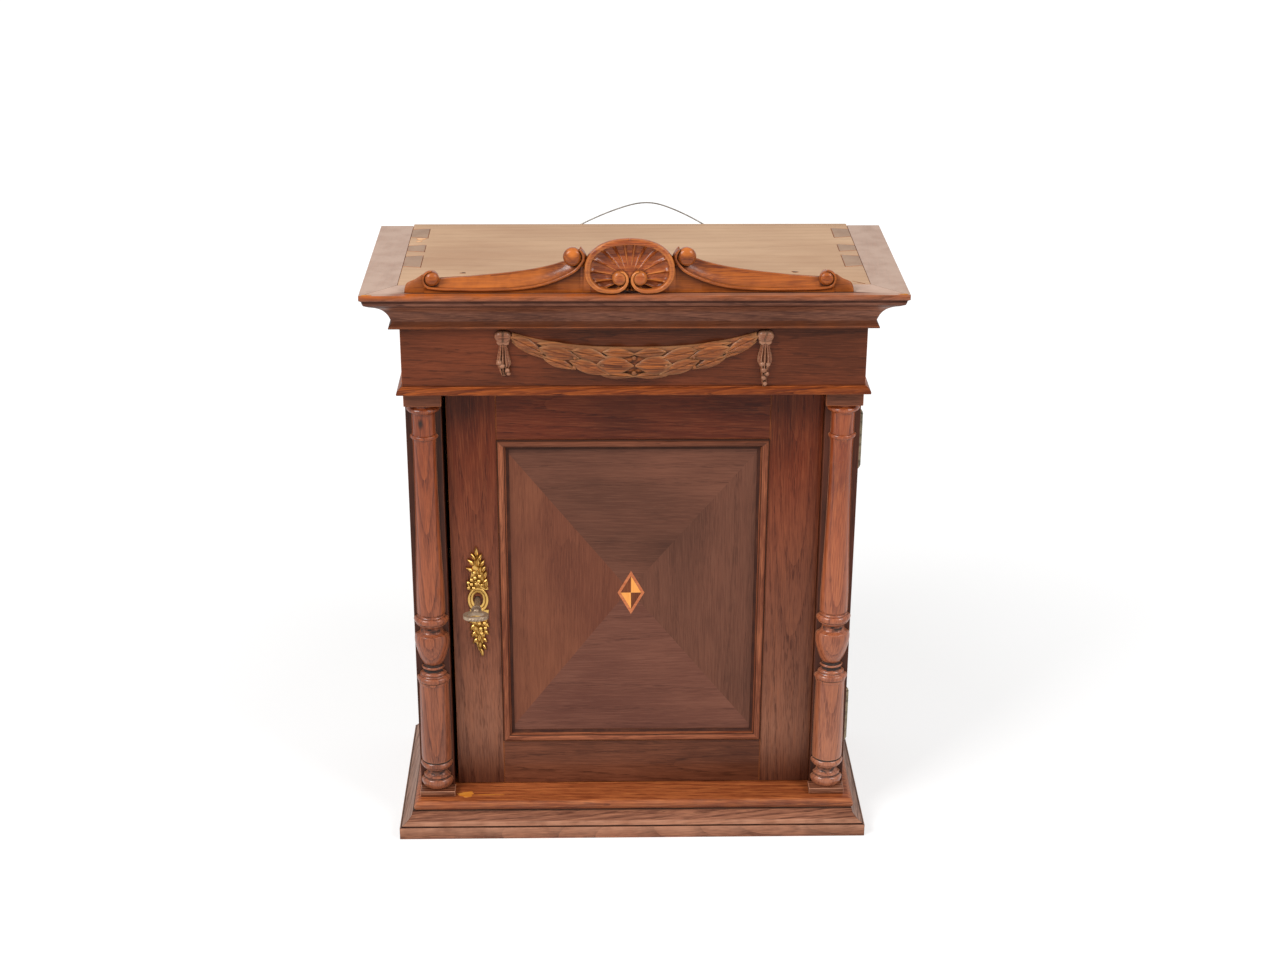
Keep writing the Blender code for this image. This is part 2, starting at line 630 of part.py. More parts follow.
def build_case():
    build_side("side_left", -1)
    right = build_side("side_right", 1)
    for z in hinge_feet():
        recess_leaf(right, z, SIDE_Y - CUT_OVERRUN, SIDE_Y + LEAF_THICKNESS + JOINT_GAP)
    build_top_board()
    build_back_boards()
    inner = HALF_CASE - SIDE_THICKNESS - JOINT_GAP
    add_box("frieze_board", (-HALF_CASE, FRIEZE_Y, FRIEZE_Z),
            (HALF_CASE, FRIEZE_Y + FRIEZE_THICKNESS, PIN_ROOT_Z), OAK_DARK)
    soffit_back = FRIEZE_INNER_Y + SOFFIT_DEPTH
    add_box("soffit_board", (-inner, FRIEZE_INNER_Y, FRIEZE_Z),
            (inner, soffit_back, FRIEZE_Z + SOFFIT_THICKNESS), OAK_DARK)
    add_box("door_stop", (-STOP_LENGTH / 2, SIDE_Y, FRIEZE_Z - JOINT_GAP - STOP_HEIGHT),
            (STOP_LENGTH / 2, SIDE_Y + STOP_THICKNESS, FRIEZE_Z - JOINT_GAP), PINE)
    build_shelf(inner)


def build_shelf(inner):
    foot = FLOOR_Z + SHELF_HEIGHT
    front = SIDE_Y + SHELF_SETBACK
    add_box("shelf", (-inner, front, foot), (inner, BACK_Y, foot + SHELF_THICKNESS), PINE)
    for name, side in (("shelf_cleat_left", -1), ("shelf_cleat_right", 1)):
        edges = sorted((side * inner, side * (inner - CLEAT_WIDTH)))
        add_box(name, (edges[0], front + CLEAT_SETBACK, foot - JOINT_GAP - CLEAT_HEIGHT),
                (edges[1], BACK_Y, foot - JOINT_GAP), PINE)


def build_entablature():
    profile = wall_profile(CORNICE_SHARES, CORNICE_PROJECTION, CORNICE_HEIGHT)
    add_mitred_run("cornice", profile, HALF_CASE, FRIEZE_Y, BACK_Y, TOP_Z - CORNICE_HEIGHT, OAK)
    profile = wall_profile(FRIEZE_MOULDING_SHARES, FRIEZE_MOULDING_PROJECTION,
                           FRIEZE_MOULDING_HEIGHT)
    add_mitred_run("frieze_moulding", profile, HALF_CASE, FRIEZE_Y, BACK_Y, FRIEZE_Z, OAK)


# Columns

def column_profile(foot, head):
    """Radius and height pairs from the head of the column to its foot."""
    total = sum(share for share, points in COLUMN_STAGE_SHARES)
    profile = [(0, head)]
    stage_head = head
    for share, points in COLUMN_STAGE_SHARES:
        stage_height = (head - foot) * share / total
        profile += [(radius * COLUMN_RADIUS, stage_head - drop * stage_height)
                    for radius, drop in points]
        stage_head -= stage_height
    profile.append((0, foot))
    return profile


def build_column(side_name, side, foot_gap, carrier):
    """Pilaster, column and its two square blocks on one side of the door."""
    x = side * COLUMN_X
    foot_z, head_z = FLOOR_Z + foot_gap, FRIEZE_Z - foot_gap
    back_y = DOOR_BACK_Y if carrier else SIDE_Y - JOINT_GAP
    pilaster = add_box(f"pilaster_{side_name}",
                       (x - PILASTER_WIDTH / 2, PILASTER_Y, foot_z),
                       (x + PILASTER_WIDTH / 2, back_y, head_z), OAK_DARK, carrier)
    inner = side * (POST_X - BLOCK_OVERHANG)
    edges = sorted((inner, side * HALF_CASE))
    face = PILASTER_Y - JOINT_GAP
    plinth_top = foot_z + PLINTH_BLOCK_HEIGHT
    capital_foot = head_z - CAPITAL_BLOCK_HEIGHT
    add_box(f"plinth_{side_name}", (edges[0], BLOCK_Y, foot_z), (edges[1], face, plinth_top),
            OAK_COLUMN, carrier)
    add_box(f"capital_{side_name}", (edges[0], BLOCK_Y, capital_foot), (edges[1], face, head_z),
            OAK_COLUMN, carrier)
    foot, head = plinth_top + JOINT_GAP, capital_foot - JOINT_GAP
    mesh = profile_mesh(f"column_{side_name}", column_profile(0, head - foot))
    column = add_piece(f"column_{side_name}", mesh, OAK_COLUMN,
                       (x, PILASTER_Y + COLUMN_SUNK, foot), carrier)
    turn_profile(column, COLUMN_STEPS)
    reach = COLUMN_RADIUS + CUT_OVERRUN
    cutter = add_box_cutter(f"column_{side_name}_back", (x - reach, face, foot - CUT_OVERRUN),
                            (x + reach, face + 2 * reach, head + CUT_OVERRUN))
    combine(column, cutter, "DIFFERENCE")
    return pilaster


# Door

def frame_section(inner, outer):
    """Plan of a frame member from its outer edge to its grooved inner edge."""
    toward = 1 if inner > outer else -1
    groove = inner - toward * (GROOVE_DEPTH + JOINT_GAP)
    front = PANEL_Y - JOINT_GAP
    back = PANEL_Y + PANEL_THICKNESS + JOINT_GAP
    return [(outer, DOOR_Y), (inner, DOOR_Y), (inner, front), (groove, front), (groove, back),
            (inner, back), (inner, DOOR_BACK_Y), (outer, DOOR_BACK_Y)]


def build_door_frame(door_axis):
    height = DOOR_HEAD_Z - DOOR_FOOT_Z
    middle = (DOOR_HEAD_Z + DOOR_FOOT_Z) / 2
    stiles = {}
    for name, inner, outer in (("stile_left", -HALF_PANEL, DOOR_LEFT_X),
                               ("stile_right", HALF_PANEL, POST_X - JOINT_GAP)):
        mesh = outline_mesh(name, [frame_section(inner, outer)], height, PLAN_VIEW)
        stiles[name] = add_piece(name, mesh, OAK, (0, 0, middle), door_axis)
    length = PANEL_OPENING_WIDTH - 2 * JOINT_GAP
    for name, inner, outer in (("rail_top", OPENING_HEAD_Z, DOOR_HEAD_Z),
                               ("rail_bottom", OPENING_FOOT_Z, DOOR_FOOT_Z)):
        section = [(y, z) for z, y in frame_section(inner, outer)]
        mesh = outline_mesh(name, [section], length, SIDE_VIEW)
        add_piece(name, mesh, OAK, (0, 0, 0), door_axis)
    return stiles


def lozenge(grow):
    half_width, half_height = LOZENGE_WIDTH / 2, LOZENGE_HEIGHT / 2
    spread = math.hypot(half_width, half_height)
    wide = half_width + grow * spread / half_height
    high = half_height + grow * spread / half_width
    return [(wide, 0), (0, high), (-wide, 0), (0, -high)]


def build_panel(door_axis):
    reach = GROOVE_DEPTH
    panel = add_box("door_panel", (-HALF_PANEL - reach, PANEL_Y, OPENING_FOOT_Z - reach),
                    (HALF_PANEL + reach, PANEL_Y + PANEL_THICKNESS, OPENING_HEAD_Z + reach),
                    WALNUT_VENEER, door_axis)
    centre_z = (OPENING_FOOT_Z + OPENING_HEAD_Z) / 2 + LOZENGE_CENTRE_DROP
    inlay = outline_mesh("inlay_lozenge", [lozenge(0)], LOZENGE_THICKNESS)
    add_piece("inlay_lozenge", inlay, INLAY_MAPLE,
              (0, PANEL_Y + LOZENGE_THICKNESS / 2, centre_z), door_axis)
    depth = LOZENGE_THICKNESS + JOINT_GAP + CUT_OVERRUN
    seat = outline_mesh("lozenge_seat", [lozenge(JOINT_GAP)], depth)
    cutter = add_cutter("lozenge_seat", seat,
                        (0, PANEL_Y - CUT_OVERRUN + depth / 2, centre_z))
    combine(panel, cutter, "DIFFERENCE")


def build_panel_moulding(door_axis):
    """Four mitred lengths, turned round the panel's centre from the top one."""
    height = PANEL_RECESS + PANEL_MOULDING_PROUD - JOINT_GAP
    profile = [(JOINT_GAP, 0)] + [(max(across, JOINT_GAP / PANEL_MOULDING_WIDTH)
                                   * PANEL_MOULDING_WIDTH, up * height)
                                  for across, up in PANEL_MOULDING_SHARES]
    opening = Vector((PANEL_OPENING_WIDTH, OPENING_HEAD_Z - OPENING_FOOT_Z))
    centre = Vector((0, PANEL_Y - JOINT_GAP, (OPENING_HEAD_Z + OPENING_FOOT_Z) / 2))
    for quarter, name in enumerate(("top", "right", "bottom", "left")):
        length, across = opening if quarter % 2 == 0 else opening.yx
        turn = Matrix.Rotation(quarter * math.pi / 2, 4, "Y")
        mesh = moulding_mesh(f"panel_moulding_{name}", profile, length - 2 * MITRE_RELIEF, 1, -1)
        corner = Vector((-length / 2 + MITRE_RELIEF, 0, across / 2))
        add_piece(f"panel_moulding_{name}", mesh, OAK, centre + turn @ corner, door_axis,
                  turn @ FRONT_VIEW)


# Hinges

def hinge_feet():
    """Heights of the lower ends of the two hinges."""
    return (DOOR_FOOT_Z + HINGE_INSET, DOOR_HEAD_Z - HINGE_INSET - HINGE_HEIGHT)


def recess_leaf(board, foot, low_y, high_y):
    name = f"{board.name}_leaf_recess_{foot:.3f}"
    cutter = add_box_cutter(name,
                            (HALF_CASE - LEAF_WIDTH - JOINT_GAP, low_y, foot - JOINT_GAP),
                            (HALF_CASE + CUT_OVERRUN, high_y, foot + HINGE_HEIGHT + JOINT_GAP))
    combine(board, cutter, "DIFFERENCE")


def knuckle_span(index):
    pitch = HINGE_HEIGHT / KNUCKLE_COUNT
    return index * pitch + JOINT_GAP / 2, (index + 1) * pitch - JOINT_GAP / 2


def leaf_outline(indexes):
    """Plate with a tab at each of its own knuckles."""
    edge = -(HINGE_X - HALF_CASE)
    tab = -(KNUCKLE_RADIUS + HINGE_PIN_RADIUS) / 2 - JOINT_GAP
    outline = [(edge - LEAF_WIDTH, HINGE_HEIGHT), (edge - LEAF_WIDTH, 0)]
    for index in sorted(indexes):
        low, high = knuckle_span(index)
        outline += [(edge, low), (tab, low), (tab, high), (edge, high)]
    outline += [(edge, HINGE_HEIGHT)]
    if outline[2] != (edge, 0):
        outline.insert(2, (edge, 0))
    return outline


def build_leaf(name, indexes, foot, leaf_y, carrier):
    mesh = outline_mesh(name, [leaf_outline(indexes)], LEAF_THICKNESS)
    leaf = add_piece(name, mesh, PATINATED_BRASS, (HINGE_X, leaf_y, foot), carrier)
    bore = HINGE_PIN_RADIUS + JOINT_GAP
    for index in indexes:
        low, high = knuckle_span(index)
        ring = [(bore, high), (KNUCKLE_RADIUS, high), (KNUCKLE_RADIUS, low), (bore, low)]
        knuckle = add_cutter(f"{name}_knuckle_{index}",
                             profile_mesh(f"{name}_knuckle_{index}", ring, closed=True),
                             (HINGE_X, HINGE_Y, foot))
        turn_profile(knuckle, KNUCKLE_STEPS)
        combine(leaf, knuckle, "UNION")


def build_hinge_pin(name, foot):
    bore_end = HINGE_HEIGHT + JOINT_GAP
    finial = HINGE_FINIAL_HEIGHT
    wide, neck = HINGE_FINIAL_RADIUS, HINGE_PIN_RADIUS
    profile = [(0, bore_end + finial), (neck / 2, bore_end + finial),
               (wide, bore_end + finial / 4), (wide, bore_end), (neck, bore_end),
               (neck, -JOINT_GAP), (wide, -JOINT_GAP), (wide, -JOINT_GAP - finial / 4),
               (neck / 2, -JOINT_GAP - finial), (0, -JOINT_GAP - finial)]
    pin = add_piece(name, profile_mesh(name, profile), PATINATED_BRASS,
                    (HINGE_X, HINGE_Y, foot))
    turn_profile(pin, KNUCKLE_STEPS)


def build_hinges(door_axis, pilaster):
    case_knuckles = range(0, KNUCKLE_COUNT, 2)
    door_knuckles = range(1, KNUCKLE_COUNT, 2)
    for name, foot in zip(("hinge_lower", "hinge_upper"), hinge_feet()):
        build_leaf(f"{name}_case_leaf", case_knuckles, foot, SIDE_Y + LEAF_THICKNESS / 2, None)
        build_leaf(f"{name}_door_leaf", door_knuckles, foot,
                   DOOR_BACK_Y - LEAF_THICKNESS / 2, door_axis)
        build_hinge_pin(f"{name}_pin", foot)
        recess_leaf(pilaster, foot, DOOR_BACK_Y - LEAF_THICKNESS - JOINT_GAP,
                    DOOR_BACK_Y + CUT_OVERRUN)


# Lock, key and escutcheon

def keyhole_outline(grow):
    """Round hole with a slot below it for the key's bit."""
    radius = KEY_SHANK_RADIUS + KEYHOLE_CLEARANCE + grow
    half = BIT_THICKNESS / 2 + KEYHOLE_CLEARANCE + grow
    slot_foot = -BIT_LENGTH - KEYHOLE_CLEARANCE - grow
    start = -math.pi / 2 + math.asin(half / radius)
    sweep = 2 * math.pi - 2 * math.asin(half / radius)
    arc = [start + sweep * i / KNUCKLE_STEPS for i in range(KNUCKLE_STEPS + 1)]
    points = [(radius * math.cos(a), radius * math.sin(a)) for a in arc]
    return points + [(-half, slot_foot), (half, slot_foot)]


def escutcheon_outline():
    """Leafy outline: lobes that grow from both tips towards the keyhole ring."""
    half = ESCUTCHEON_WIDTH / 2
    right = []
    for height, way in ((ESCUTCHEON_RISE, 1), (ESCUTCHEON_DROP, -1)):
        branch = []
        per_lobe = 4
        count = ESCUTCHEON_LOBES * per_lobe
        for i in range(1, count):
            along = i / count
            swell = 1 - along ** 1.6
            lobe = 0.80 + 0.20 * abs(math.cos(math.pi * along * ESCUTCHEON_LOBES))
            branch.append((half * swell * lobe, way * height * along))
        branch.append((0, way * height))
        right.append(branch)
    upper, lower = right
    outline = [(half, 0)] + upper
    outline += [(-x, y) for x, y in reversed(upper[:-1])] + [(-half, 0)]
    outline += [(-x, y) for x, y in lower[:-1]] + list(reversed(lower))
    return outline


def build_escutcheon(door_axis):
    centre = (KEY_X, DOOR_Y - JOINT_GAP - ESCUTCHEON_THICKNESS / 2, KEY_Z)
    outlines = [escutcheon_outline(), keyhole_outline(0)]
    plate = add_piece("escutcheon", outline_mesh("escutcheon", outlines, ESCUTCHEON_THICKNESS),
                      GILT_BRASS, centre, door_axis)
    steps = 2 * KNUCKLE_STEPS
    bar = ESCUTCHEON_RING_BAR
    ring = [[(scale_x * math.cos(2 * math.pi * i / steps), scale_z * math.sin(2 * math.pi * i / steps))
             for i in range(steps)]
            for scale_x, scale_z in ((ESCUTCHEON_WIDTH / 2, ESCUTCHEON_RING_HEIGHT / 2),
                                     (ESCUTCHEON_WIDTH / 2 - bar,
                                      ESCUTCHEON_RING_HEIGHT / 2 - bar))]
    mesh = outline_mesh("escutcheon_ring", ring, ESCUTCHEON_THICKNESS + bar)
    raised = add_cutter("escutcheon_ring", mesh,
                        (KEY_X, DOOR_Y - JOINT_GAP - (ESCUTCHEON_THICKNESS + bar) / 2, KEY_Z))
    combine(plate, raised, "UNION")


def cut_keyhole(stile):
    depth = DOOR_THICKNESS + 2 * CUT_OVERRUN
    mesh = outline_mesh("stile_keyhole", [keyhole_outline(0)], depth)
    cutter = add_cutter("stile_keyhole", mesh, (KEY_X, DOOR_Y + DOOR_THICKNESS / 2, KEY_Z))
    combine(stile, cutter, "DIFFERENCE")


def bolt_y():
    """Middle of the bolt's thickness, inside the lock case."""
    return DOOR_BACK_Y + JOINT_GAP + (LOCK_DEPTH - LOCK_WALL) / 2


def build_lock_case(door_axis):
    left = DOOR_LEFT_X + LOCK_EDGE_SETBACK
    front = DOOR_BACK_Y + JOINT_GAP
    low = Vector((left, front, KEY_Z - LOCK_HEIGHT / 2))
    high = low + Vector((LOCK_WIDTH, LOCK_DEPTH, LOCK_HEIGHT))
    case = add_box("lock_case", low, high, STEEL, door_axis)
    wall = Vector((LOCK_WALL, 0, LOCK_WALL))
    hollow = add_box_cutter("lock_hollow", low + wall - Vector((0, CUT_OVERRUN, 0)),
                            high - wall - Vector((0, LOCK_WALL, 0)))
    combine(case, hollow, "DIFFERENCE")
    slot = add_box_cutter(
        "bolt_slot",
        (left - CUT_OVERRUN, bolt_y() - BOLT_THICKNESS / 2 - JOINT_GAP, BOLT_FOOT_Z - JOINT_GAP),
        (left + LOCK_WALL + CUT_OVERRUN, bolt_y() + BOLT_THICKNESS / 2 + JOINT_GAP,
         BOLT_FOOT_Z + BOLT_HEIGHT + JOINT_GAP))
    combine(case, slot, "DIFFERENCE")
    tip_radius = KEY_TIP_RADIUS + JOINT_GAP
    reach = LOCK_WALL + CUT_OVERRUN
    hole = profile_mesh("tip_hole", [(0, reach), (tip_radius, reach), (tip_radius, -reach),
                                     (0, -reach)])
    cutter = add_cutter("tip_hole", hole, (KEY_X, high.y, KEY_Z), FRONT_VIEW)
    turn_profile(cutter, KNUCKLE_STEPS)
    combine(case, cutter, "DIFFERENCE")


def build_bolt(door_axis):
    """Flat bolt with a notch in its lower edge for the key's bit."""
    left = DOOR_LEFT_X + LOCK_EDGE_SETBACK
    axis = add_axis("bolt_slide", (left, bolt_y(), BOLT_FOOT_Z), door_axis)
    notch = KEY_X + BOLT_THROW / 2 - BOLT_NOTCH_WIDTH / 2 - left
    notch_end = notch + BOLT_NOTCH_WIDTH
    outline = [(0, 0), (notch, 0), (notch, BOLT_NOTCH_DEPTH), (notch_end, BOLT_NOTCH_DEPTH),
               (notch_end, 0), (BOLT_LENGTH, 0), (BOLT_LENGTH, BOLT_HEIGHT), (0, BOLT_HEIGHT)]
    mesh = outline_mesh("lock_bolt", [outline], BOLT_THICKNESS)
    add_piece("lock_bolt", mesh, STEEL, (left, bolt_y(), BOLT_FOOT_Z), axis)


def build_key(door_axis):
    """Key turned about Y, its bow level and its bit pointing away from the bolt's end."""
    place = (KEY_X, DOOR_Y, KEY_Z)
    axis = add_axis("key_turn", place, door_axis)
    lock_back = DOOR_BACK_Y + JOINT_GAP + LOCK_DEPTH
    tip = DOOR_Y - lock_back
    shoulder = tip + LOCK_WALL + JOINT_GAP
    bow_root = KEY_REACH - KEY_BOW_LENGTH
    collar = [(radius * KEY_COLLAR_RADIUS, share * KEY_REACH)
              for radius, share in KEY_COLLAR_SHARES]
    profile = ([(0, bow_root + KEY_BOW_BAR / 2), (KEY_SHANK_RADIUS, bow_root + KEY_BOW_BAR / 2)]
               + [point for point in collar if point[1] < bow_root]
               + [(KEY_SHANK_RADIUS, shoulder), (KEY_TIP_RADIUS, shoulder),
                  (KEY_TIP_RADIUS, tip), (0, tip)])
    key = add_piece("key", profile_mesh("key", profile), STEEL, place, axis, FRONT_VIEW)
    turn_profile(key, KNUCKLE_STEPS)
    bow = add_cutter("key_bow", key_bow_mesh(bow_root), place)
    combine(key, bow, "UNION")
    bit_y = bolt_y() - BIT_WIDTH / 2
    bit = add_box_cutter("key_bit", (KEY_X, bit_y, KEY_Z - BIT_THICKNESS / 2),
                         (KEY_X + BIT_LENGTH, bit_y + BIT_WIDTH, KEY_Z + BIT_THICKNESS / 2))
    combine(key, bit, "UNION")


def key_bow_mesh(bow_root):
    """Flat oval ring in the level plane, from the bow's root out to the key's reach."""
    steps = KNUCKLE_STEPS + KNUCKLE_STEPS // 2
    centre = -(bow_root + KEY_REACH) / 2
    rings = []
    for inset in (0, KEY_BOW_BAR):
        wide, deep = KEY_BOW_WIDTH / 2 - inset, KEY_BOW_LENGTH / 2 - inset
        rings.append([(wide * math.cos(2 * math.pi * i / steps),
                       centre + deep * math.sin(2 * math.pi * i / steps))
                      for i in range(steps)])
    return outline_mesh("key_bow", rings, KEY_BOW_THICKNESS, PLAN_VIEW)


def build_strike():
    low_y = SIDE_Y
    centre_z = BOLT_FOOT_Z + BOLT_HEIGHT / 2
    outer = -(HALF_CASE - SIDE_THICKNESS - JOINT_GAP)
    add_box("strike_plate", (outer, low_y, centre_z - STRIKE_HEIGHT / 2),
            (outer + STRIKE_WIDTH, low_y + STRIKE_THICKNESS, centre_z + STRIKE_HEIGHT / 2),
            STEEL)


# Crest

def crest_front_y():
    return FRONT_Y + CREST_SETBACK


def crest_section(offset):
    """Section of an arm: back, top edge, hollow face, fillet and flat field."""
    run = (SMALL_VOLUTE_OFFSET - offset) / (SMALL_VOLUTE_OFFSET - BIG_VOLUTE_OFFSET)
    top = CREST_END_RISE + CREST_SWEEP * max(run, 0) ** 2.3
    fillet = CREST_FILLET_RISE + CREST_FILLET_SWEEP * max((run - 0.38) / 0.62, 0) ** 2
    front = crest_front_y()
    field = front + CREST_FIELD_STEP
    back = front + CREST_THICKNESS
    top_y = front + CREST_TOP_STEP
    section = [(back, 0), (back, top), (top_y + CREST_FILLET / 2, top), (top_y, top - CREST_FILLET / 2)]
    for share in (0.2, 0.45, 0.7, 0.9):
        hollow = CREST_COVE_DEPTH * math.sin(math.pi * share) ** 0.8
        height = top + (fillet - top) * share
        section.append((top_y + (front - top_y) * share + hollow, height - CREST_FILLET / 2 * (1 - share)))
    low = fillet - CREST_FILLET
    section += [(front, fillet), (front, low), (field, low), (field, 0)]
    return section


def volute_mesh(name, radius):
    depth = CREST_THICKNESS + VOLUTE_PROUD
    step = 2 * VOLUTE_PROUD
    profile = [(share * radius, depth - step * (1 - rise)) for share, rise in VOLUTE_SHARES[:-1]]
    return profile_mesh(name, profile + [(radius, 0), (0, 0)])


def build_crest_arm(name, side):
    foot = TOP_Z + JOINT_GAP
    centre = CREST_SHIFT
    sections = []
    inner = SHELL_WIDTH / 2 - SHELL_RIM_WIDTH
    for i in range(CREST_STATIONS + 1):
        offset = inner + (SMALL_VOLUTE_OFFSET - inner) * i / CREST_STATIONS
        sections.append([(side * offset, y, z) for y, z in crest_section(offset)])
    arm = add_piece(name, loft_mesh(name, sections), OAK, (centre, 0, foot))
    back = crest_front_y() + CREST_THICKNESS
    for stem, radius, offset, height in (
            ("big_volute", BIG_VOLUTE_RADIUS, BIG_VOLUTE_OFFSET, BIG_VOLUTE_HEIGHT),
            ("small_volute", SMALL_VOLUTE_RADIUS, SMALL_VOLUTE_OFFSET, SMALL_VOLUTE_HEIGHT)):
        volute = add_cutter(f"{name}_{stem}", volute_mesh(f"{name}_{stem}", radius),
                            (centre + side * offset, back, foot + height), FRONT_VIEW)
        turn_profile(volute, KNUCKLE_STEPS + 4)
        combine(arm, volute, "UNION")
    add_ear(arm, side)
    shell = add_cutter(f"{name}_shell_seat", outline_mesh(
        f"{name}_shell_seat", [shell_outline(JOINT_GAP)], 3 * CREST_THICKNESS),
        (centre, back, foot))
    combine(arm, shell, "DIFFERENCE")


def add_ear(arm, side):
    """Low leaf-shaped hump that ends the arm outside its small volute."""
    start = SMALL_VOLUTE_OFFSET - SMALL_VOLUTE_RADIUS / 2
    length = CREST_LENGTH / 2 - start
    outline = [(side * (start + along * length), up * EAR_HEIGHT) for along, up in EAR_SHARES]
    depth = CREST_THICKNESS - CREST_TOP_STEP / 2
    centre_y = crest_front_y() + CREST_THICKNESS - depth / 2
    ear = add_cutter(f"{arm.name}_ear", outline_mesh(f"{arm.name}_ear", [outline], depth),
                     (CREST_SHIFT, centre_y, TOP_Z + JOINT_GAP))
    combine(arm, ear, "UNION")


def shell_radius(angle, grow):
    """Distance from the shell's focus to its edge, which is an oval that stands on the cornice."""
    wide, high = SHELL_WIDTH / 2 + grow, SHELL_HEIGHT / 2 + grow
    rise = SHELL_HEIGHT / 2 - SHELL_FOCUS_HEIGHT
    cosine, sine = math.cos(angle), math.sin(angle)
    a = (cosine / wide) ** 2 + (sine / high) ** 2
    b = -sine * rise / high ** 2
    c = (rise / high) ** 2 - 1
    return (-b + math.sqrt(b * b - a * c)) / a


def shell_angles():
    return [2 * math.pi * i / SHELL_SECTORS - math.pi / 2 for i in range(SHELL_SECTORS)]


def shell_outline(grow):
    return [(shell_radius(a, grow) * math.cos(a),
             SHELL_FOCUS_HEIGHT + shell_radius(a, grow) * math.sin(a)) for a in shell_angles()]


def shell_relief(share, angle, radius):
    """How far the carved face stands before the shell's ground at a share of the radius."""
    rim_share = 1 - SHELL_RIM_WIDTH / radius
    if share >= rim_share:
        across = (share - rim_share) / (1 - rim_share)
        return SHELL_DISH * (0.55 + 0.45 * math.sin(math.pi * across))
    inward = share / rim_share
    dish = SHELL_DISH * (0.62 - 0.62 * math.sin(math.pi * min(inward, 1) * 0.62))
    flute = abs(math.sin((angle + math.pi / 2) * (SHELL_FLUTES + 2) / 2))
    return dish + SHELL_FLUTE_DEPTH * flute * inward


def build_shell():
    """Carved shell: a polar relief of flutes and a rolled rim over a flat ground."""
    shares = [0.12, 0.35, 0.58, 0.78]
    rim_shares = [0.0, 0.25, 0.5, 0.75, 1.0]
    front = crest_front_y() - SHELL_PROUD
    ground = front + SHELL_DISH
    back = crest_front_y() + CREST_THICKNESS
    bm = bmesh.new()
    rings = []
    for level in range(len(shares) + len(rim_shares)):
        ring = []
        for angle in shell_angles():
            radius = shell_radius(angle, 0)
            rim = 1 - SHELL_RIM_WIDTH / radius
            if level < len(shares):
                share = shares[level] * rim
            else:
                share = rim + rim_shares[level - len(shares)] * (1 - rim)
            relief = shell_relief(share, angle, radius)
            ring.append(bm.verts.new((share * radius * math.cos(angle), ground - relief,
                                      SHELL_FOCUS_HEIGHT + share * radius * math.sin(angle))))
        rings.append(ring)
    outer = rings[-1]
    rings.append([bm.verts.new((vert.co.x, back, vert.co.z)) for vert in outer])
    for ring, following in zip(rings, rings[1:]):
        for i, vert in enumerate(ring):
            j = (i + 1) % SHELL_SECTORS
            bm.faces.new((vert, following[i], following[j], ring[j]))
    bm.faces.new(rings[0])
    bm.faces.new(rings[-1])
    bmesh.ops.recalc_face_normals(bm, faces=bm.faces)
    mesh = bpy.data.meshes.new("crest_shell")
    bm.to_mesh(mesh)
    bm.free()
    shell = add_piece("crest_shell", mesh, OAK, (CREST_SHIFT, 0, TOP_Z + JOINT_GAP))
    for stem, side in (("left_eye", -1), ("right_eye", 1)):
        eye = add_cutter(f"shell_{stem}", volute_mesh(f"shell_{stem}", SHELL_EYE_RADIUS),
                         (CREST_SHIFT + side * SHELL_EYE_OFFSET, back - SHELL_PROUD,
                          TOP_Z + JOINT_GAP + SHELL_EYE_HEIGHT), FRONT_VIEW)
        turn_profile(eye, KNUCKLE_STEPS)
        combine(shell, eye, "UNION")


def build_crest():
    build_crest_arm("crest_arm_left", -1)
    build_crest_arm("crest_arm_right", 1)
    build_shell()


# Swag

def build_swag():
    """Crescent garland between two rosettes that each carry a tassel."""
    wall = FRIEZE_Y - JOINT_GAP
    end_top = FRIEZE_Z + SWAG_END_HEIGHT
    sections = []
    for i in range(SWAG_STATIONS):
        across = 2 * i / (SWAG_STATIONS - 1) - 1
        bulge = 1 - across ** 2
        top = end_top - SWAG_TOP_SAG * bulge
        bottom = end_top - SWAG_END_WIDTH - SWAG_BOTTOM_SAG * bulge
        relief = SWAG_END_RELIEF + (SWAG_RELIEF - SWAG_END_RELIEF) * bulge
        centre, half = (top + bottom) / 2, (top - bottom) / 2
        arc = [math.pi * j / 6 for j in range(7)]
        sections.append([(across * SWAG_SPAN / 2, wall - relief * math.sin(a),
                          centre + half * math.cos(a)) for a in arc])
    add_piece("swag_garland", loft_mesh("swag_garland", sections), OAK_WEATHERED)
    for side_name, side in (("left", -1), ("right", 1)):
        build_tassel(side_name, side, wall, end_top - ROSETTE_DROP)


def build_tassel(side_name, side, wall, rosette_z):
    length = TASSEL_LENGTHS[side_name]
    half = TASSEL_WIDTH / 2
    right = [(half * wide, -length * drop) for wide, drop in TASSEL_SHARES]
    outline = right + [(-x, y) for x, y in reversed(right)]
    x = side * (SWAG_SPAN / 2 + JOINT_GAP + ROSETTE_RADIUS)
    name = f"swag_tassel_{side_name}"
    tassel = add_piece(name, outline_mesh(name, [outline], TASSEL_RELIEF), OAK_WEATHERED,
                       (x, wall - TASSEL_RELIEF / 2, rosette_z))
    profile = [(share * ROSETTE_RADIUS, rise * ROSETTE_RELIEF) for share, rise in ROSETTE_SHARES]
    rosette = add_cutter(f"{name}_rosette", profile_mesh(f"{name}_rosette", profile + [(0, 0)]),
                         (x, wall, rosette_z), FRONT_VIEW)
    turn_profile(rosette, KNUCKLE_STEPS)
    combine(tassel, rosette, "UNION")


# Hanging wire

def hanger_x(side):
    return HANGER_SHIFT + side * HANGER_SPAN / 2


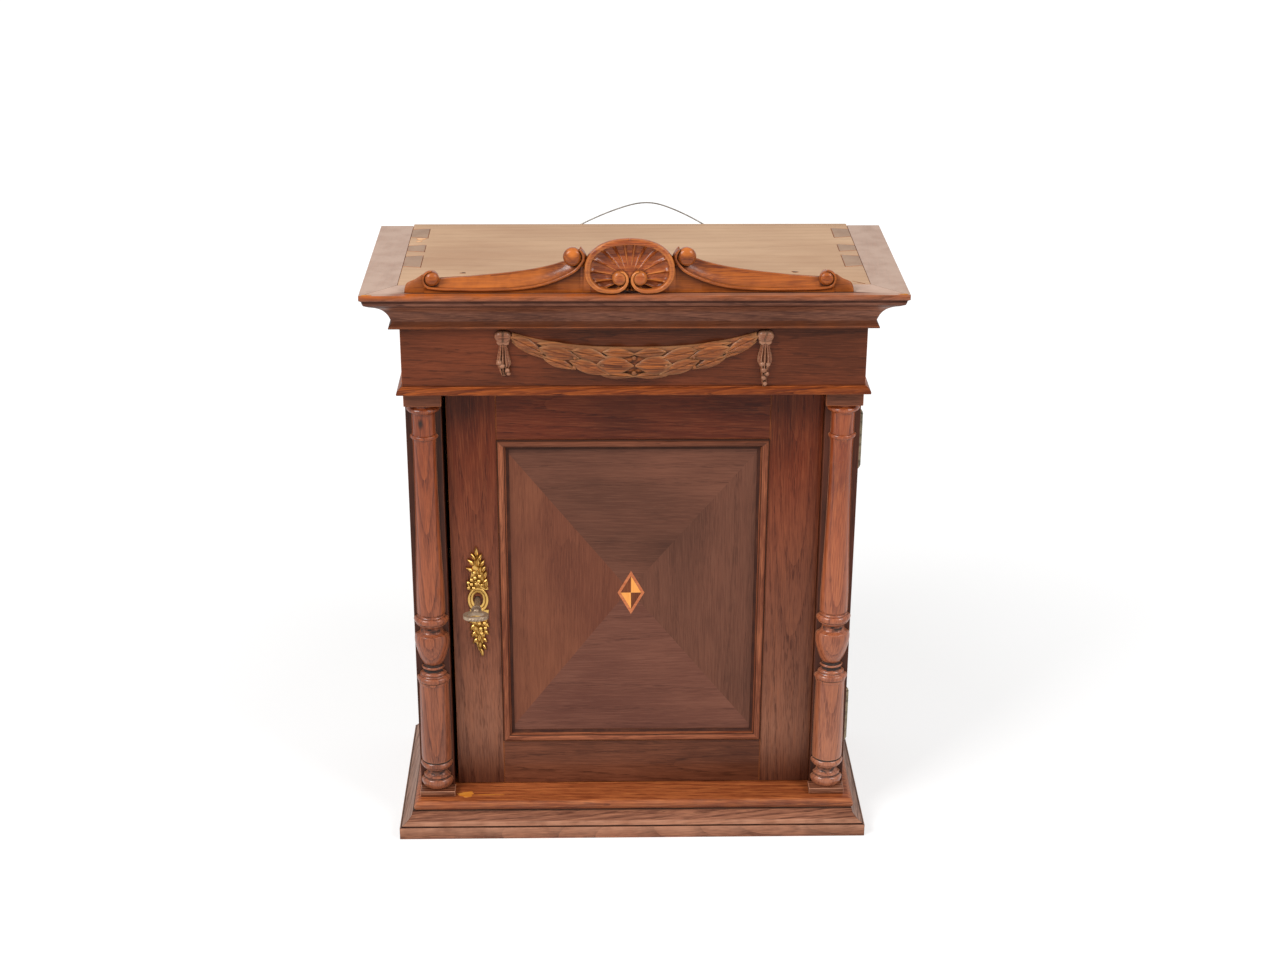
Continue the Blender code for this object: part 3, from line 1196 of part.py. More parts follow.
def wire_points():
    """An eye round the left screw, a bowed run to the peak and back down to the right eye."""
    y = REAR_Y + JOINT_GAP + WIRE_RADIUS
    screw_z = TOP_Z - HANGER_DROP
    peak = Vector((WIRE_PEAK_SHIFT, y, TOP_Z + WIRE_RISE))
    halves = []
    for side in (-1, 1):
        centre = Vector((hanger_x(side), y, screw_z))
        leave = math.pi / 2
        eye = []
        for i in range(WIRE_EYE_POINTS):
            angle = leave + side * 1.5 * math.pi * (1 - i / (WIRE_EYE_POINTS - 1))
            eye.append(centre + WIRE_EYE_RADIUS * Vector((math.cos(angle), 0, math.sin(angle))))
        start = eye[-1]
        run = []
        for i in range(1, WIRE_RUN_POINTS):
            share = i / WIRE_RUN_POINTS
            point = start.lerp(peak, share)
            point.z += WIRE_BULGE * math.sin(math.pi * share)
            run.append(point)
        halves.append(eye + run)
    left, right = halves
    return left + [peak] + list(reversed(right))


def build_hanger():
    curve = bpy.data.curves.new("hanging_wire", "CURVE")
    curve.dimensions = "3D"
    curve.bevel_depth = WIRE_RADIUS
    curve.bevel_resolution = 1
    curve.use_fill_caps = True
    points = wire_points()
    spline = curve.splines.new("POLY")
    spline.points.add(len(points) - 1)
    for target, point in zip(spline.points, points):
        target.co = (*point, 1)
    add_piece("hanging_wire", curve, STEEL)
    head_foot = SCREW_HEAD_FOOT
    radius, shank = SCREW_HEAD_RADIUS, SCREW_SHANK_RADIUS
    profile = [(0, head_foot + SCREW_HEAD_HEIGHT), (radius / 2, head_foot + SCREW_HEAD_HEIGHT),
               (radius, head_foot + SCREW_HEAD_HEIGHT / 2), (radius, head_foot),
               (shank, head_foot), (shank, -BACK_BOARD_THICKNESS), (0, -BACK_BOARD_THICKNESS)]
    for name, side in (("hanger_screw_left", -1), ("hanger_screw_right", 1)):
        screw = add_piece(name, profile_mesh(name, profile), STEEL,
                          (hanger_x(side), REAR_Y, TOP_Z - HANGER_DROP),
                          turn=Matrix.Rotation(-math.pi / 2, 4, "X"))
        turn_profile(screw, KNUCKLE_STEPS)


def shade_round_pieces():
    for piece in PARTS.objects:
        if piece.type == "MESH" and not piece.modifiers:
            piece.data.shade_smooth()
            piece.data.set_sharp_from_angle(angle=math.radians(35))


def build_cabinet():
    build_base()
    build_case()
    build_entablature()
    build_crest()
    build_swag()
    build_hanger()
    build_strike()
    build_column("left", -1, JOINT_GAP, None)
    door_axis = add_axis("door_hinge_axis", (HINGE_X, HINGE_Y, 0))
    right_pilaster = build_column("right", 1, DOOR_END_CLEARANCE, door_axis)
    stiles = build_door_frame(door_axis)
    cut_keyhole(stiles["stile_left"])
    build_panel(door_axis)
    build_panel_moulding(door_axis)
    build_hinges(door_axis, right_pilaster)
    build_escutcheon(door_axis)
    build_lock_case(door_axis)
    build_bolt(door_axis)
    build_key(door_axis)
    shade_round_pieces()


clear_scene()
PARTS = new_collection("hanging_cabinet")
CUTTERS = new_collection("cutters")
build_cabinet()
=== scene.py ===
"""Looks of a small hanging wall cabinet, laid out as an add-on with one operator a piece."""

import math
from functools import partial

import bmesh
import bpy
from bpy.props import FloatProperty, FloatVectorProperty, PointerProperty
from mathutils import Euler, Matrix, Vector
from mathutils.bvhtree import BVHTree


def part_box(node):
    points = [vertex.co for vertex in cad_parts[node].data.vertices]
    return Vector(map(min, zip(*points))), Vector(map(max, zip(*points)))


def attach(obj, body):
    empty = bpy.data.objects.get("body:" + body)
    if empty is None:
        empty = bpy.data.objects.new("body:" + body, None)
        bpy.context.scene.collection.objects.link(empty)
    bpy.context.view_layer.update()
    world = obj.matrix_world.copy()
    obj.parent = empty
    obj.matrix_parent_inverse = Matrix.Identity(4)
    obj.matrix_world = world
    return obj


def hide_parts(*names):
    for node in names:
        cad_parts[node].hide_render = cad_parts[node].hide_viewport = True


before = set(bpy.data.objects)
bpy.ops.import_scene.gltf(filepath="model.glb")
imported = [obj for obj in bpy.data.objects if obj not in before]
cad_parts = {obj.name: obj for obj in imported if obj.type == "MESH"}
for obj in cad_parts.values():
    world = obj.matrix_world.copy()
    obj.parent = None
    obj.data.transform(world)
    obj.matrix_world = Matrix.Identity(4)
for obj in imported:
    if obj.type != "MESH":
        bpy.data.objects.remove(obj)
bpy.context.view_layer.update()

bl_info = {
    "name": "Hanging Wall Cabinet",
    "version": (1, 0, 0),
    "blender": (4, 5, 0),
    "location": "View3D > Sidebar > Cabinet",
    "description": "Builds the visible pieces and finishes of a small wall cabinet",
    "category": "Object",
}

MM = 0.001
WELD = 0.003 * MM        # points of a new mesh that are one
CAD_WELD = 0.005 * MM    # points of a CAD solid that are one
SEAM = 0.3 * MM          # between a moulding and the wall behind it
MITRE_RELIEF = 0.2 * MM  # taken off each half of a mitre
WAVE_PERIOD = 0.314      # between the bands of a wave texture of scale one
# Axes of a log in a piece: along the grain, across it, and in from the face that is seen
LOG_AXES = {"x": (0, 2, 1), "y": (1, 2, 0), "z": (2, 0, 1), "top_x": (0, 1, 2)}


# Colour and nodes

def linear(code, share=1.0):
    """An sRGB hex colour as linear RGBA, or a share of its light."""
    channels = [int(code[i:i + 2], 16) / 255 for i in (0, 2, 4)]
    return [share * (c / 12.92 if c <= 0.04045 else ((c + 0.055) / 1.055) ** 2.4) for c in channels] + [1.0]


def add(tree, kind, inputs=(), out=0, **settings):
    """Adds a node with its settings and its inputs' values or links, and returns one output.

    A shader tree's kinds are given without the ShaderNode that their names start with.
    """
    node = tree.nodes.new(kind if tree.type == "GEOMETRY" else f"ShaderNode{kind}")
    for key, value in settings.items():
        setattr(node, key, value)
    for key, value in inputs.items() if isinstance(inputs, dict) else enumerate(inputs):
        if isinstance(value, bpy.types.NodeSocket):
            tree.links.new(value, node.inputs[key])
        else:
            node.inputs[key].default_value = value
    return node.outputs[out] if node.outputs else None


def new_material(name):
    """A material, its tree and its shader."""
    material = bpy.data.materials.new(name)
    material.use_nodes = True
    return material, material.node_tree, material.node_tree.nodes["Principled BSDF"]


def wood(name, dark, mid, light, rings=7.0, pores=0.55, figure=0.5, roughness=0.42, coat=0.06,
         worn_and_lit="B06432", grime="2E1A14", dusty="A08878", settling=0.0, lit_low_tone=None, foot=None,
         wander=0.008, bump=0.25, specular=0.14, streak=0.7):
    """Ring-porous wood. The log_place attribute gives each point its place in the log, grain along X.

    Rings are so many millimetres apart. Pores, figure and streak say how strongly these show, and
    settling how much dust lies on faces that look up. From the middle of the cabinet's height down the
    colour turns paler, which is painted light, and at the very bottom it turns to foot, a darker tone.
    """
    ring_scale = bpy.context.scene.cabinet_finish.ring_scale
    material, tree, shader = new_material(name)
    node = partial(add, tree)
    log = node("Attribute", out="Vector", attribute_name="log_place")
    place = node("TexCoord", out="Object")
    drift = node("TexNoise", {"Vector": node("Mapping", {"Vector": log, "Scale": (0.35, 1, 1)}),
                              "Scale": 14.0, "Detail": 1.0}, "Color")
    centred = node("VectorMath", (drift, (0.5, 0.5, 0.5)), operation="SUBTRACT")
    pushed = node("VectorMath", (centred, (wander,) * 3), operation="MULTIPLY")
    warped = node("VectorMath", (log, pushed), operation="ADD")
    ring = node("TexWave", {
        "Vector": warped, "Scale": WAVE_PERIOD / (rings * ring_scale * MM), "Distortion": 0.5,
        "Detail": 2.0, "Detail Scale": 1.0}, "Fac",
        wave_type="RINGS", rings_direction="X", wave_profile="SAW")
    # Real fibres are finer than a tenth of a millimetre; they are drawn 1.2 mm apart so that they show
    fibre, pore, cloud = (node("TexNoise", {
        "Vector": node("Mapping", {"Vector": log, "Scale": (along, across, across)}), "Scale": 1.0,
        "Detail": detail, "Roughness": rough}, "Fac")
        for along, across, detail, rough in ((24, 820, 3.0, 0.6), (75, 950, 1.0, 0.5), (6, 14, 3.0, 0.5)))
    patch = node("TexNoise", {"Vector": place, "Scale": 60.0, "Detail": 4.0}, "Fac")
    hollow, wear_and_highlight = (node("Attribute", out="Fac", attribute_name=mark) for mark in ("hollow", "wear_and_highlight"))

    ground = node("Mix", {0: node("MapRange", (cloud, 0.3, 0.7)), 6: linear(dark), 7: linear(mid)}, 2,
                  data_type="RGBA")
    # Painted light: paler from the middle of the height down, and darker again at the very foot
    if lit_low_tone:
        height = node("SeparateXYZ", (place,), 2)
        low_tone = node("Mix", {0: node("MapRange", (height, 0.045, 0.10)), 6: linear(foot or lit_low_tone),
                                7: linear(lit_low_tone)}, 2, data_type="RGBA")
        share = node("Math", (node("MapRange", (height, 0.40, 0.06)),
                              node("MapRange", (cloud, 0.3, 0.7, 0.45, 0.9))), operation="MULTIPLY")
        ground = node("Mix", {0: share, 6: ground, 7: low_tone}, 2, data_type="RGBA")

    late = node("MapRange", (ring, 0.2, 0.8, 0.0, figure * 0.35))
    line = node("Math", (node("MapRange", (ring, 0.0, 0.36, figure, 0.0)),
                         node("MapRange", (cloud, 0.3, 0.6, 0.6, 1.0))), operation="MULTIPLY")
    pale_fibre = node("MapRange", (fibre, 0.36, 0.49, streak * 0.7, 0.0))
    dark_fibre = node("MapRange", (fibre, 0.51, 0.63, 0.0, streak))
    open_pore = node("Math", (node("MapRange", (pore, 0.52, 0.6)),
                              node("MapRange", (ring, 0.0, 0.45, pores, pores * 0.3))), operation="MULTIPLY")
    # Dirt and painted shade: hollows and crevices take the grime colour
    dirt_and_shade = node("Math", (hollow, node("MapRange", (patch, 0.2, 0.6, 0.75, 1.0))), operation="MULTIPLY")
    # Rubbing and painted highlight: marked places take the colour for rubbed and lit places
    rubbed = node("Math", (wear_and_highlight, node("MapRange", (patch, 0.35, 0.65, 0.45, 1.0))), operation="MULTIPLY")
    # Dust lies on what looks up, and neither on rubbed and lit places nor on dirty and shaded ones
    upward = node("MapRange", (node("SeparateXYZ", (node("TexCoord", out="Normal"),), 2), 0.75, 1.0, 0.0,
                               settling))
    shown = node("Math", (upward, node("MapRange", (patch, 0.25, 0.6, 0.75, 1.0))), operation="MULTIPLY")
    bared = node("Math", (node("MapRange", (wear_and_highlight, 0.0, 0.6, 1.0, 0.0)),
                          node("MapRange", (hollow, 0.0, 0.8, 1.0, 0.0))), operation="MULTIPLY")
    dust = node("Math", (shown, bared), operation="MULTIPLY")
    colour = ground
    for share, tone in ((late, linear(light)), (line, linear(dark, 0.7)), (pale_fibre, linear(light)),
                        (dark_fibre, linear(dark)), (open_pore, linear(dark, 0.38)), (dirt_and_shade, linear(grime)),
                        (rubbed, linear(worn_and_lit)), (dust, linear(dusty))):
        colour = node("Mix", {0: share, 6: colour, 7: tone}, 2, data_type="RGBA")
    tree.links.new(colour, shader.inputs["Base Color"])

    dull = node("Math", (dust, node("Math", (hollow, 0.4), operation="MULTIPLY")), operation="ADD")
    rough = node("MapRange", (cloud, 0.3, 0.7, roughness - 0.06, roughness + 0.08))
    tree.links.new(node("Math", (rough, dull), operation="ADD", use_clamp=True), shader.inputs["Roughness"])
    if coat > 0.15:
        tree.links.new(node("MapRange", (hollow, 0.0, 0.6, coat, 0.0)), shader.inputs["Coat Weight"])
    else:
        shader.inputs["Coat Weight"].default_value = coat
    relief = node("Math", (fibre, open_pore), operation="SUBTRACT")
    tree.links.new(node("Bump", {"Strength": bump, "Distance": 0.4 * MM, "Height": relief}),
                   shader.inputs["Normal"])
    shader.inputs["Specular IOR Level"].default_value = specular
    shader.inputs["Coat Roughness"].default_value = 0.16
    return material


def metal(name, base, deep, roughness, grime, seed, metallic=1.0):
    """Cast or drawn metal, darker and duller in its hollows and blotches. No base means the user's brass."""
    material, tree, shader = new_material(name)
    node = partial(add, tree)
    bright = linear(base) if base else (*bpy.context.scene.cabinet_finish.brass_colour, 1.0)
    moved = node("Mapping", {"Vector": node("TexCoord", out="Object"), "Location": (seed, seed * 0.7, 0)})
    blotch = node("TexNoise", {"Vector": moved, "Scale": 180.0, "Detail": 4.0}, "Fac")
    fine = node("TexNoise", {"Vector": moved, "Scale": 1080.0, "Detail": 2.0}, "Fac")
    patina = node("Math", (node("MapRange", (blotch, 0.42, 0.68, 0.0, grime)),
                           node("Attribute", out="Fac", attribute_name="hollow")),
                  operation="ADD", use_clamp=True)
    tree.links.new(node("Mix", {0: patina, 6: bright, 7: linear(deep)}, 2, data_type="RGBA"),
                   shader.inputs["Base Color"])
    tree.links.new(node("MapRange", (patina, 0.0, 1.0, roughness, roughness + 0.3)),
                   shader.inputs["Roughness"])
    tree.links.new(node("Bump", {"Strength": 0.15, "Distance": 0.2 * MM, "Height": fine}),
                   shader.inputs["Normal"])
    shader.inputs["Metallic"].default_value = metallic
    return material


def place_in_log(name, mesh, grain, aside, tilt):
    """Gives each point its place in a log: the heart lies behind the face, aside by a share of 0.1 m."""
    low = [min(v.co[i] for v in mesh.vertices) for i in range(3)]
    high = [max(v.co[i] for v in mesh.vertices) for i in range(3)]
    middle = Vector([(a + b) / 2 for a, b in zip(low, high)])
    number = sum((i + 3) * ord(letter) for i, letter in enumerate(name)) % 997
    lean = Euler((0, math.radians(tilt), math.radians(tilt * 0.6 * (1 if number % 2 else -1)))).to_matrix()
    shift = Vector((number * 0.037, (aside + (number % 7 - 3) * 0.02) * 0.1, 0.038 + (number % 11) * 0.003))
    along, across, inward = LOG_AXES[grain]
    values = []
    for vert in mesh.vertices:
        local = vert.co - middle
        values += (lean @ Vector((local[along], local[across], local[inward])) + shift)[:]
    mesh.attributes.new("log_place", "FLOAT_VECTOR", "POINT").data.foreach_set("vector", values)


def finished(name, mesh, material, body, replaces=(), slot=None, smooth=32, grain="x", aside=0.0, tilt=1.5):
    """Turns a mesh into a piece that rides on a body and stands for CAD nodes."""
    place_in_log(name, mesh, grain, aside, tilt)
    piece = bpy.data.objects.new(name, mesh)
    bpy.context.scene.collection.objects.link(piece)
    mesh.materials.clear()
    mesh.materials.append(material)
    mesh.shade_smooth()
    mesh.set_sharp_from_angle(angle=math.radians(smooth))
    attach(piece, body)
    if replaces:
        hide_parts(*replaces)
    return piece


def blocked_share(bm, reach):
    """For each vertex, the share of directions in front of it that the surface itself blocks within reach."""
    tree = BVHTree.FromBMesh(bm)
    directions, golden_turn = 16, 2.39996
    spread = []
    for i in range(directions):
        # The last three steps towards the horizon are left out, where a flat neighbour would count
        up, turn = 1 - (i + 0.5) / (directions + 3), i * golden_turn
        side = math.sqrt(1 - up * up)
        spread.append(Vector((side * math.cos(turn), side * math.sin(turn), up)))
    shares = {}
    for vert in bm.verts:
        turn = Vector((0, 0, 1)).rotation_difference(vert.normal).to_matrix()
        start = vert.co + vert.normal * 0.05 * MM
        hits = [way for way in spread if tree.ray_cast(start, turn @ way, reach)[0] is not None]
        shares[vert] = len(hits) / len(spread)
    return shares


def mark_surface(bm, wear_and_highlight=1.0, hollow=1.0, rounds=0, calm=0.14, gain=6.0, rubbed=None,
                 sunk=None, crevice=0.0):
    """Stores for each vertex how rubbed and lit, and how dirty and shaded, it is.

    Both come from how sharply the surface bends there past calm radians, averaged over its neighbours
    in so many rounds. A crevice so many millimetres wide counts in place of the bend, as painted shade
    where the surface blocks the light. Rubbed and sunk give least values by place, of rubbing with
    painted highlight and of dirt with painted shade.
    """
    broad_face, open_share, crevice_gain = 1.5 * MM, 0.18, 2.2
    wear_and_highlight_layer = bm.verts.layers.float.new("wear_and_highlight")
    hollow_layer = bm.verts.layers.float.new("hollow")
    bm.normal_update()
    bend = {}
    for vert in bm.verts:
        signed = [edge.calc_face_angle_signed(0.0) for edge in vert.link_edges]
        bend[vert] = sum(signed) / max(len(signed), 1)
    for _ in range(rounds):
        bend = {vert: 0.5 * bend[vert] + 0.5 * sum(bend[edge.other_vert(vert)] for edge in vert.link_edges)
                / max(len(vert.link_edges), 1) for vert in bm.verts}
    blocked = blocked_share(bm, crevice * MM) if crevice else {}
    for vert in bm.verts:
        broad = max((face.calc_area() / max(edge.calc_length() for edge in face.edges)
                     for face in vert.link_faces), default=0)
        on_edge = 0.0 if broad > broad_face and not rounds else 1.0
        vert[wear_and_highlight_layer] = on_edge * wear_and_highlight * min(max((bend[vert] - calm) * gain, 0.0), 1.0)
        vert[hollow_layer] = on_edge * hollow * min(max((-bend[vert] - calm * 0.5) * gain, 0.0), 1.0)
        # Rubbed marks wear by place, and painted highlight on the cornice and the crest
        if rubbed:
            vert[wear_and_highlight_layer] = max(vert[wear_and_highlight_layer], rubbed(vert.co))
        # Painted shade, with dirt: the more the surface blocks round a vertex, the darker it is marked
        if crevice:
            closed = (blocked[vert] - open_share) * crevice_gain * hollow
            vert[hollow_layer] = min(max(closed, 0.0), 1.0)
        if sunk:
            vert[hollow_layer] = max(vert[hollow_layer], sunk(vert.co))


def stored(bm, name):
    """The mesh as data, and the working copy freed."""
    mesh = bpy.data.meshes.new(name)
    bm.to_mesh(mesh)
    bm.free()
    return mesh


def to_mesh(bm, name, wear_and_highlight=1.0, hollow=1.0, **marks):
    """Closes, marks and stores a mesh."""
    bmesh.ops.remove_doubles(bm, verts=bm.verts, dist=WELD)
    bmesh.ops.recalc_face_normals(bm, faces=bm.faces)
    mark_surface(bm, wear_and_highlight, hollow, **marks)
    return stored(bm, name)


def lofted(name, sections, *marks, **more_marks):
    """Marked mesh of one loft."""
    bm = bmesh.new()
    loft(bm, sections)
    return to_mesh(bm, name, *marks, **more_marks)


def loft(bm, sections):
    """Adds closed rings of points joined side by side, with both ends closed."""
    rings = [[bm.verts.new(point) for point in section] for section in sections]
    for ring, following in zip(rings, rings[1:]):
        for i, vert in enumerate(ring):
            j = (i + 1) % len(ring)
            bm.faces.new((vert, ring[j], following[j], following[i]))
    bm.faces.new(list(reversed(rings[0])))
    bm.faces.new(rings[-1])


def flowing(points, steps=5):
    """A smooth curve through points, with its first and last kept."""
    points = [Vector(p) for p in points]
    ends = [2 * points[0] - points[1]] + points + [2 * points[-1] - points[-2]]
    result = []
    for i in range(1, len(ends) - 2):
        a, b, c, d = ends[i - 1:i + 3]
        for step in range(steps):
            t = step / steps
            result.append(0.5 * ((2 * b) + (c - a) * t + (2 * a - 5 * b + 4 * c - d) * t * t
                                 + (3 * b - a - 3 * c + d) * t ** 3))
    return result + [points[-1]]


def outline_of(runs, steps=5, ease=0.25):
    """Joins runs of points in millimetres, each a smooth curve, and rubs the corners between them round.

    A run starts where the one before it ends.
    """
    whole = [runs[0]] + [before[-1:] + run for before, run in zip(runs, runs[1:])]
    curves = [[p * MM for p in (flowing(run, steps) if len(run) > 2 else map(Vector, run))] for run in whole]
    outline = [curves[0][0]]
    for curve, following in zip(curves, curves[1:] + [None]):
        outline += curve[1:-1]
        corner = curve[-1]
        if following is None:
            outline.append(corner)
            continue
        before, after = outline[-1] - corner, following[1] - corner
        reach = min(ease * MM, 0.4 * before.length, 0.4 * after.length)
        first, last = corner + before.normalized() * reach, corner + after.normalized() * reach
        for t in (0, 1 / 3, 2 / 3, 1):
            outline.append(first * (1 - t) ** 2 + corner * 2 * t * (1 - t) + last * t * t)
    return outline


def cad_copy(node):
    """A merged copy of a CAD node, where it stands."""
    bm = bmesh.new()
    bm.from_mesh(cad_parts[node].data)
    bmesh.ops.transform(bm, matrix=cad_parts[node].matrix_world, verts=bm.verts)
    bmesh.ops.remove_doubles(bm, verts=bm.verts, dist=CAD_WELD)
    return bm


def eased_copy(node, material, body, slot=None, ease=1.0, wear_and_highlight=1.0, **log):
    """A board from the CAD with its edges rubbed round, ease times as far as the setting says."""
    name = f"{node}_eased"
    bm = cad_copy(node)
    bmesh.ops.recalc_face_normals(bm, faces=bm.faces)
    bmesh.ops.dissolve_limit(bm, angle_limit=math.radians(1), verts=bm.verts, edges=bm.edges)
    sharp = [edge for edge in bm.edges if abs(edge.calc_face_angle(0.0)) > math.radians(28)]
    bmesh.ops.bevel(bm, geom=sharp, offset=ease * bpy.context.scene.cabinet_finish.edge_rounding, segments=3,
                    profile=0.5, affect="EDGES", clamp_overlap=True)
    bmesh.ops.triangulate(bm, faces=[face for face in bm.faces if len(face.verts) > 4])
    return finished(name, to_mesh(bm, name, wear_and_highlight), material, body, [node], slot, **log)


def moulding(profile, start, along, outward, length, slopes, steps=24):
    """Sections of a swept profile of (out, up) points; each end is cut at its slope times the out."""
    start, along, outward = Vector(start), Vector(along), Vector(outward)
    sections = []
    for i in range(steps + 1):
        share = i / steps
        section = []
        for out, up in profile:
            shift = out * (slopes[0] * (1 - share) + slopes[1] * share)
            section.append(start + along * (length * share + shift) + outward * out + Vector((0, 0, up)))
        sections.append(section)
    return sections


def mitred_set(stem, runs, material, side_material, rubbed, sunk):
    """Front and side mouldings with smooth profiles, in place of the CAD's facetted ones."""
    low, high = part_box(f"{stem}_front")
    side_low, side_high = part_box(f"{stem}_right")
    half = side_low.x - SEAM
    wall = high.y + SEAM
    profile = [(p.x, p.y + low.z) for p in outline_of(runs)]
    relief = MITRE_RELIEF
    length = side_high.y - wall - relief
    jobs = (("front", (-half + relief, wall, 0), (1, 0, 0), (0, -1, 0), 2 * (half - relief), (-1, 1), "x"),
            ("right", (half, wall + relief, 0), (0, 1, 0), (1, 0, 0), length, (-1, 0), "y"),
            ("left", (-half, wall + relief, 0), (0, 1, 0), (-1, 0, 0), length, (-1, 0), "y"))
    for side, start, along, outward, length, slopes, grain in jobs:
        name, front = f"{stem}_{side}_run", side == "front"
        # Crevices are marked darker as dirt and painted shade
        mesh = lofted(name, moulding(profile, start, along, outward, length, slopes), hollow=1.8,
                      rubbed=rubbed if front else None, sunk=sunk, crevice=7)
        finished(name, mesh, material if front else side_material, "case", [f"{stem}_{side}"], "oak",
                 grain=grain, tilt=4)


def facing(x, z, wall, height):
    """A point of the front, given across, up and out from a wall, all in millimetres but the wall."""
    return Vector((x * MM, wall - height * MM, z * MM))


def lathe(bm, profile, centre, steps=32, axis=(0, -1, 0)):
    """Turns (radius, height) points in millimetres round an axis through a point."""
    turn = Vector((0, 0, 1)).rotation_difference(Vector(axis)).to_matrix()
    least_radius = 0.02
    sections = []
    for radius, height in profile:
        radius = max(radius, least_radius)
        sections.append([Vector(centre) + turn @ Vector((
            radius * math.cos(math.tau * i / steps), radius * math.sin(math.tau * i / steps), height)) * MM
            for i in range(steps)])
    loft(bm, sections)


def band(bm, path, halves, wall, heights):
    """A raised, rounded band that follows a path on the front; half widths and heights run along with it."""
    section = [(-1, 0), (-1, 0.5), (-0.88, 0.78), (-0.6, 0.94), (0, 1), (0.6, 0.94), (0.88, 0.78), (1, 0.5),
               (1, 0)]
    sections = []
    for i, point in enumerate(path):
        ahead = path[min(i + 1, len(path) - 1)] - path[max(i - 1, 0)]
        side = Vector((-ahead.y, ahead.x)).normalized()
        place = i / (len(path) - 1)
        half, height = blended(halves, place), blended(heights, place)
        sections.append([facing(point.x + side.x * half * across, point.y + side.y * half * across, wall,
                                height * up) for across, up in section])
    loft(bm, sections)


def blended(stops, place):
    """A value between evenly spaced stops."""
    if isinstance(stops, (int, float)):
        return stops
    step = place * (len(stops) - 1)
    i = min(int(step), len(stops) - 2)
    return stops[i] + (stops[i + 1] - stops[i]) * (step - i)


def spiral(centre, start, turns, radii, way, points=28):
    """Points (across, up) of a spiral round a centre, from an angle in degrees."""
    result = []
    for i in range(points + 1):
        share = i / points
        angle = math.radians(start + way * 360 * turns * share)
        radius = radii[0] + (radii[1] - radii[0]) * share
        result.append((centre[0] + radius * math.cos(angle), centre[1] + radius * math.sin(angle)))
    return result


def tube(bm, points, radius, steps=10):
    """A round wire along a path in space."""
    sections = []
    for i, point in enumerate(points):
        ahead = (points[min(i + 1, len(points) - 1)] - points[max(i - 1, 0)]).normalized()
        side = ahead.cross(Vector((0.1, 0.95, 0.2))).normalized()
        up = side.cross(ahead)
        sections.append([point + (side * math.cos(math.tau * k / steps) + up * math.sin(math.tau * k / steps))
                         * radius for k in range(steps)])
    loft(bm, sections)


def merge_into(bm, mesh):
    """Adds a mesh to another and deletes the first."""
    bm.from_mesh(mesh)
    bpy.data.meshes.remove(mesh)


# Settings

class CabinetFinishSettings(bpy.types.PropertyGroup):
    """Surfaces that a user may change"""
    ring_scale: FloatProperty(
        name="Ring Spacing", description="Distance between growth rings, as a share of each wood's own",
        default=1.0, min=0.2, max=5.0)
    edge_rounding: FloatProperty(
        name="Edge Rounding", description="How far the edges of boards and blocks are rubbed back",
        default=0.5 * MM, min=0.05 * MM, max=1.5 * MM, unit="LENGTH", subtype="DISTANCE")
    brass_colour: FloatVectorProperty(
        name="Brass", description="Colour of the keyhole plate where it is rubbed bright",
        default=linear("DCB266")[:3], size=3, min=0, max=1, subtype="COLOR")


class CabinetStageSettings(bpy.types.PropertyGroup):
    """Camera, light and paper"""
    lens: FloatProperty(
        name="Lens", description="Focal length of the camera in millimetres", default=57.32, min=10, max=300)
    light: FloatProperty(
        name="Light", description="Strength of the even studio light", default=0.45, min=0, max=5)
    whiteness: FloatProperty(
        name="Whiteness", description="How white the paper looks where no shadow falls", default=1.14, min=0,
        max=2)
    floor_colour: FloatVectorProperty(
        name="Floor Colour", description="Colour of the paper under the cabinet",
        default=linear("FAF9F8")[:3], size=3, min=0, max=1, subtype="COLOR")


# Finishes

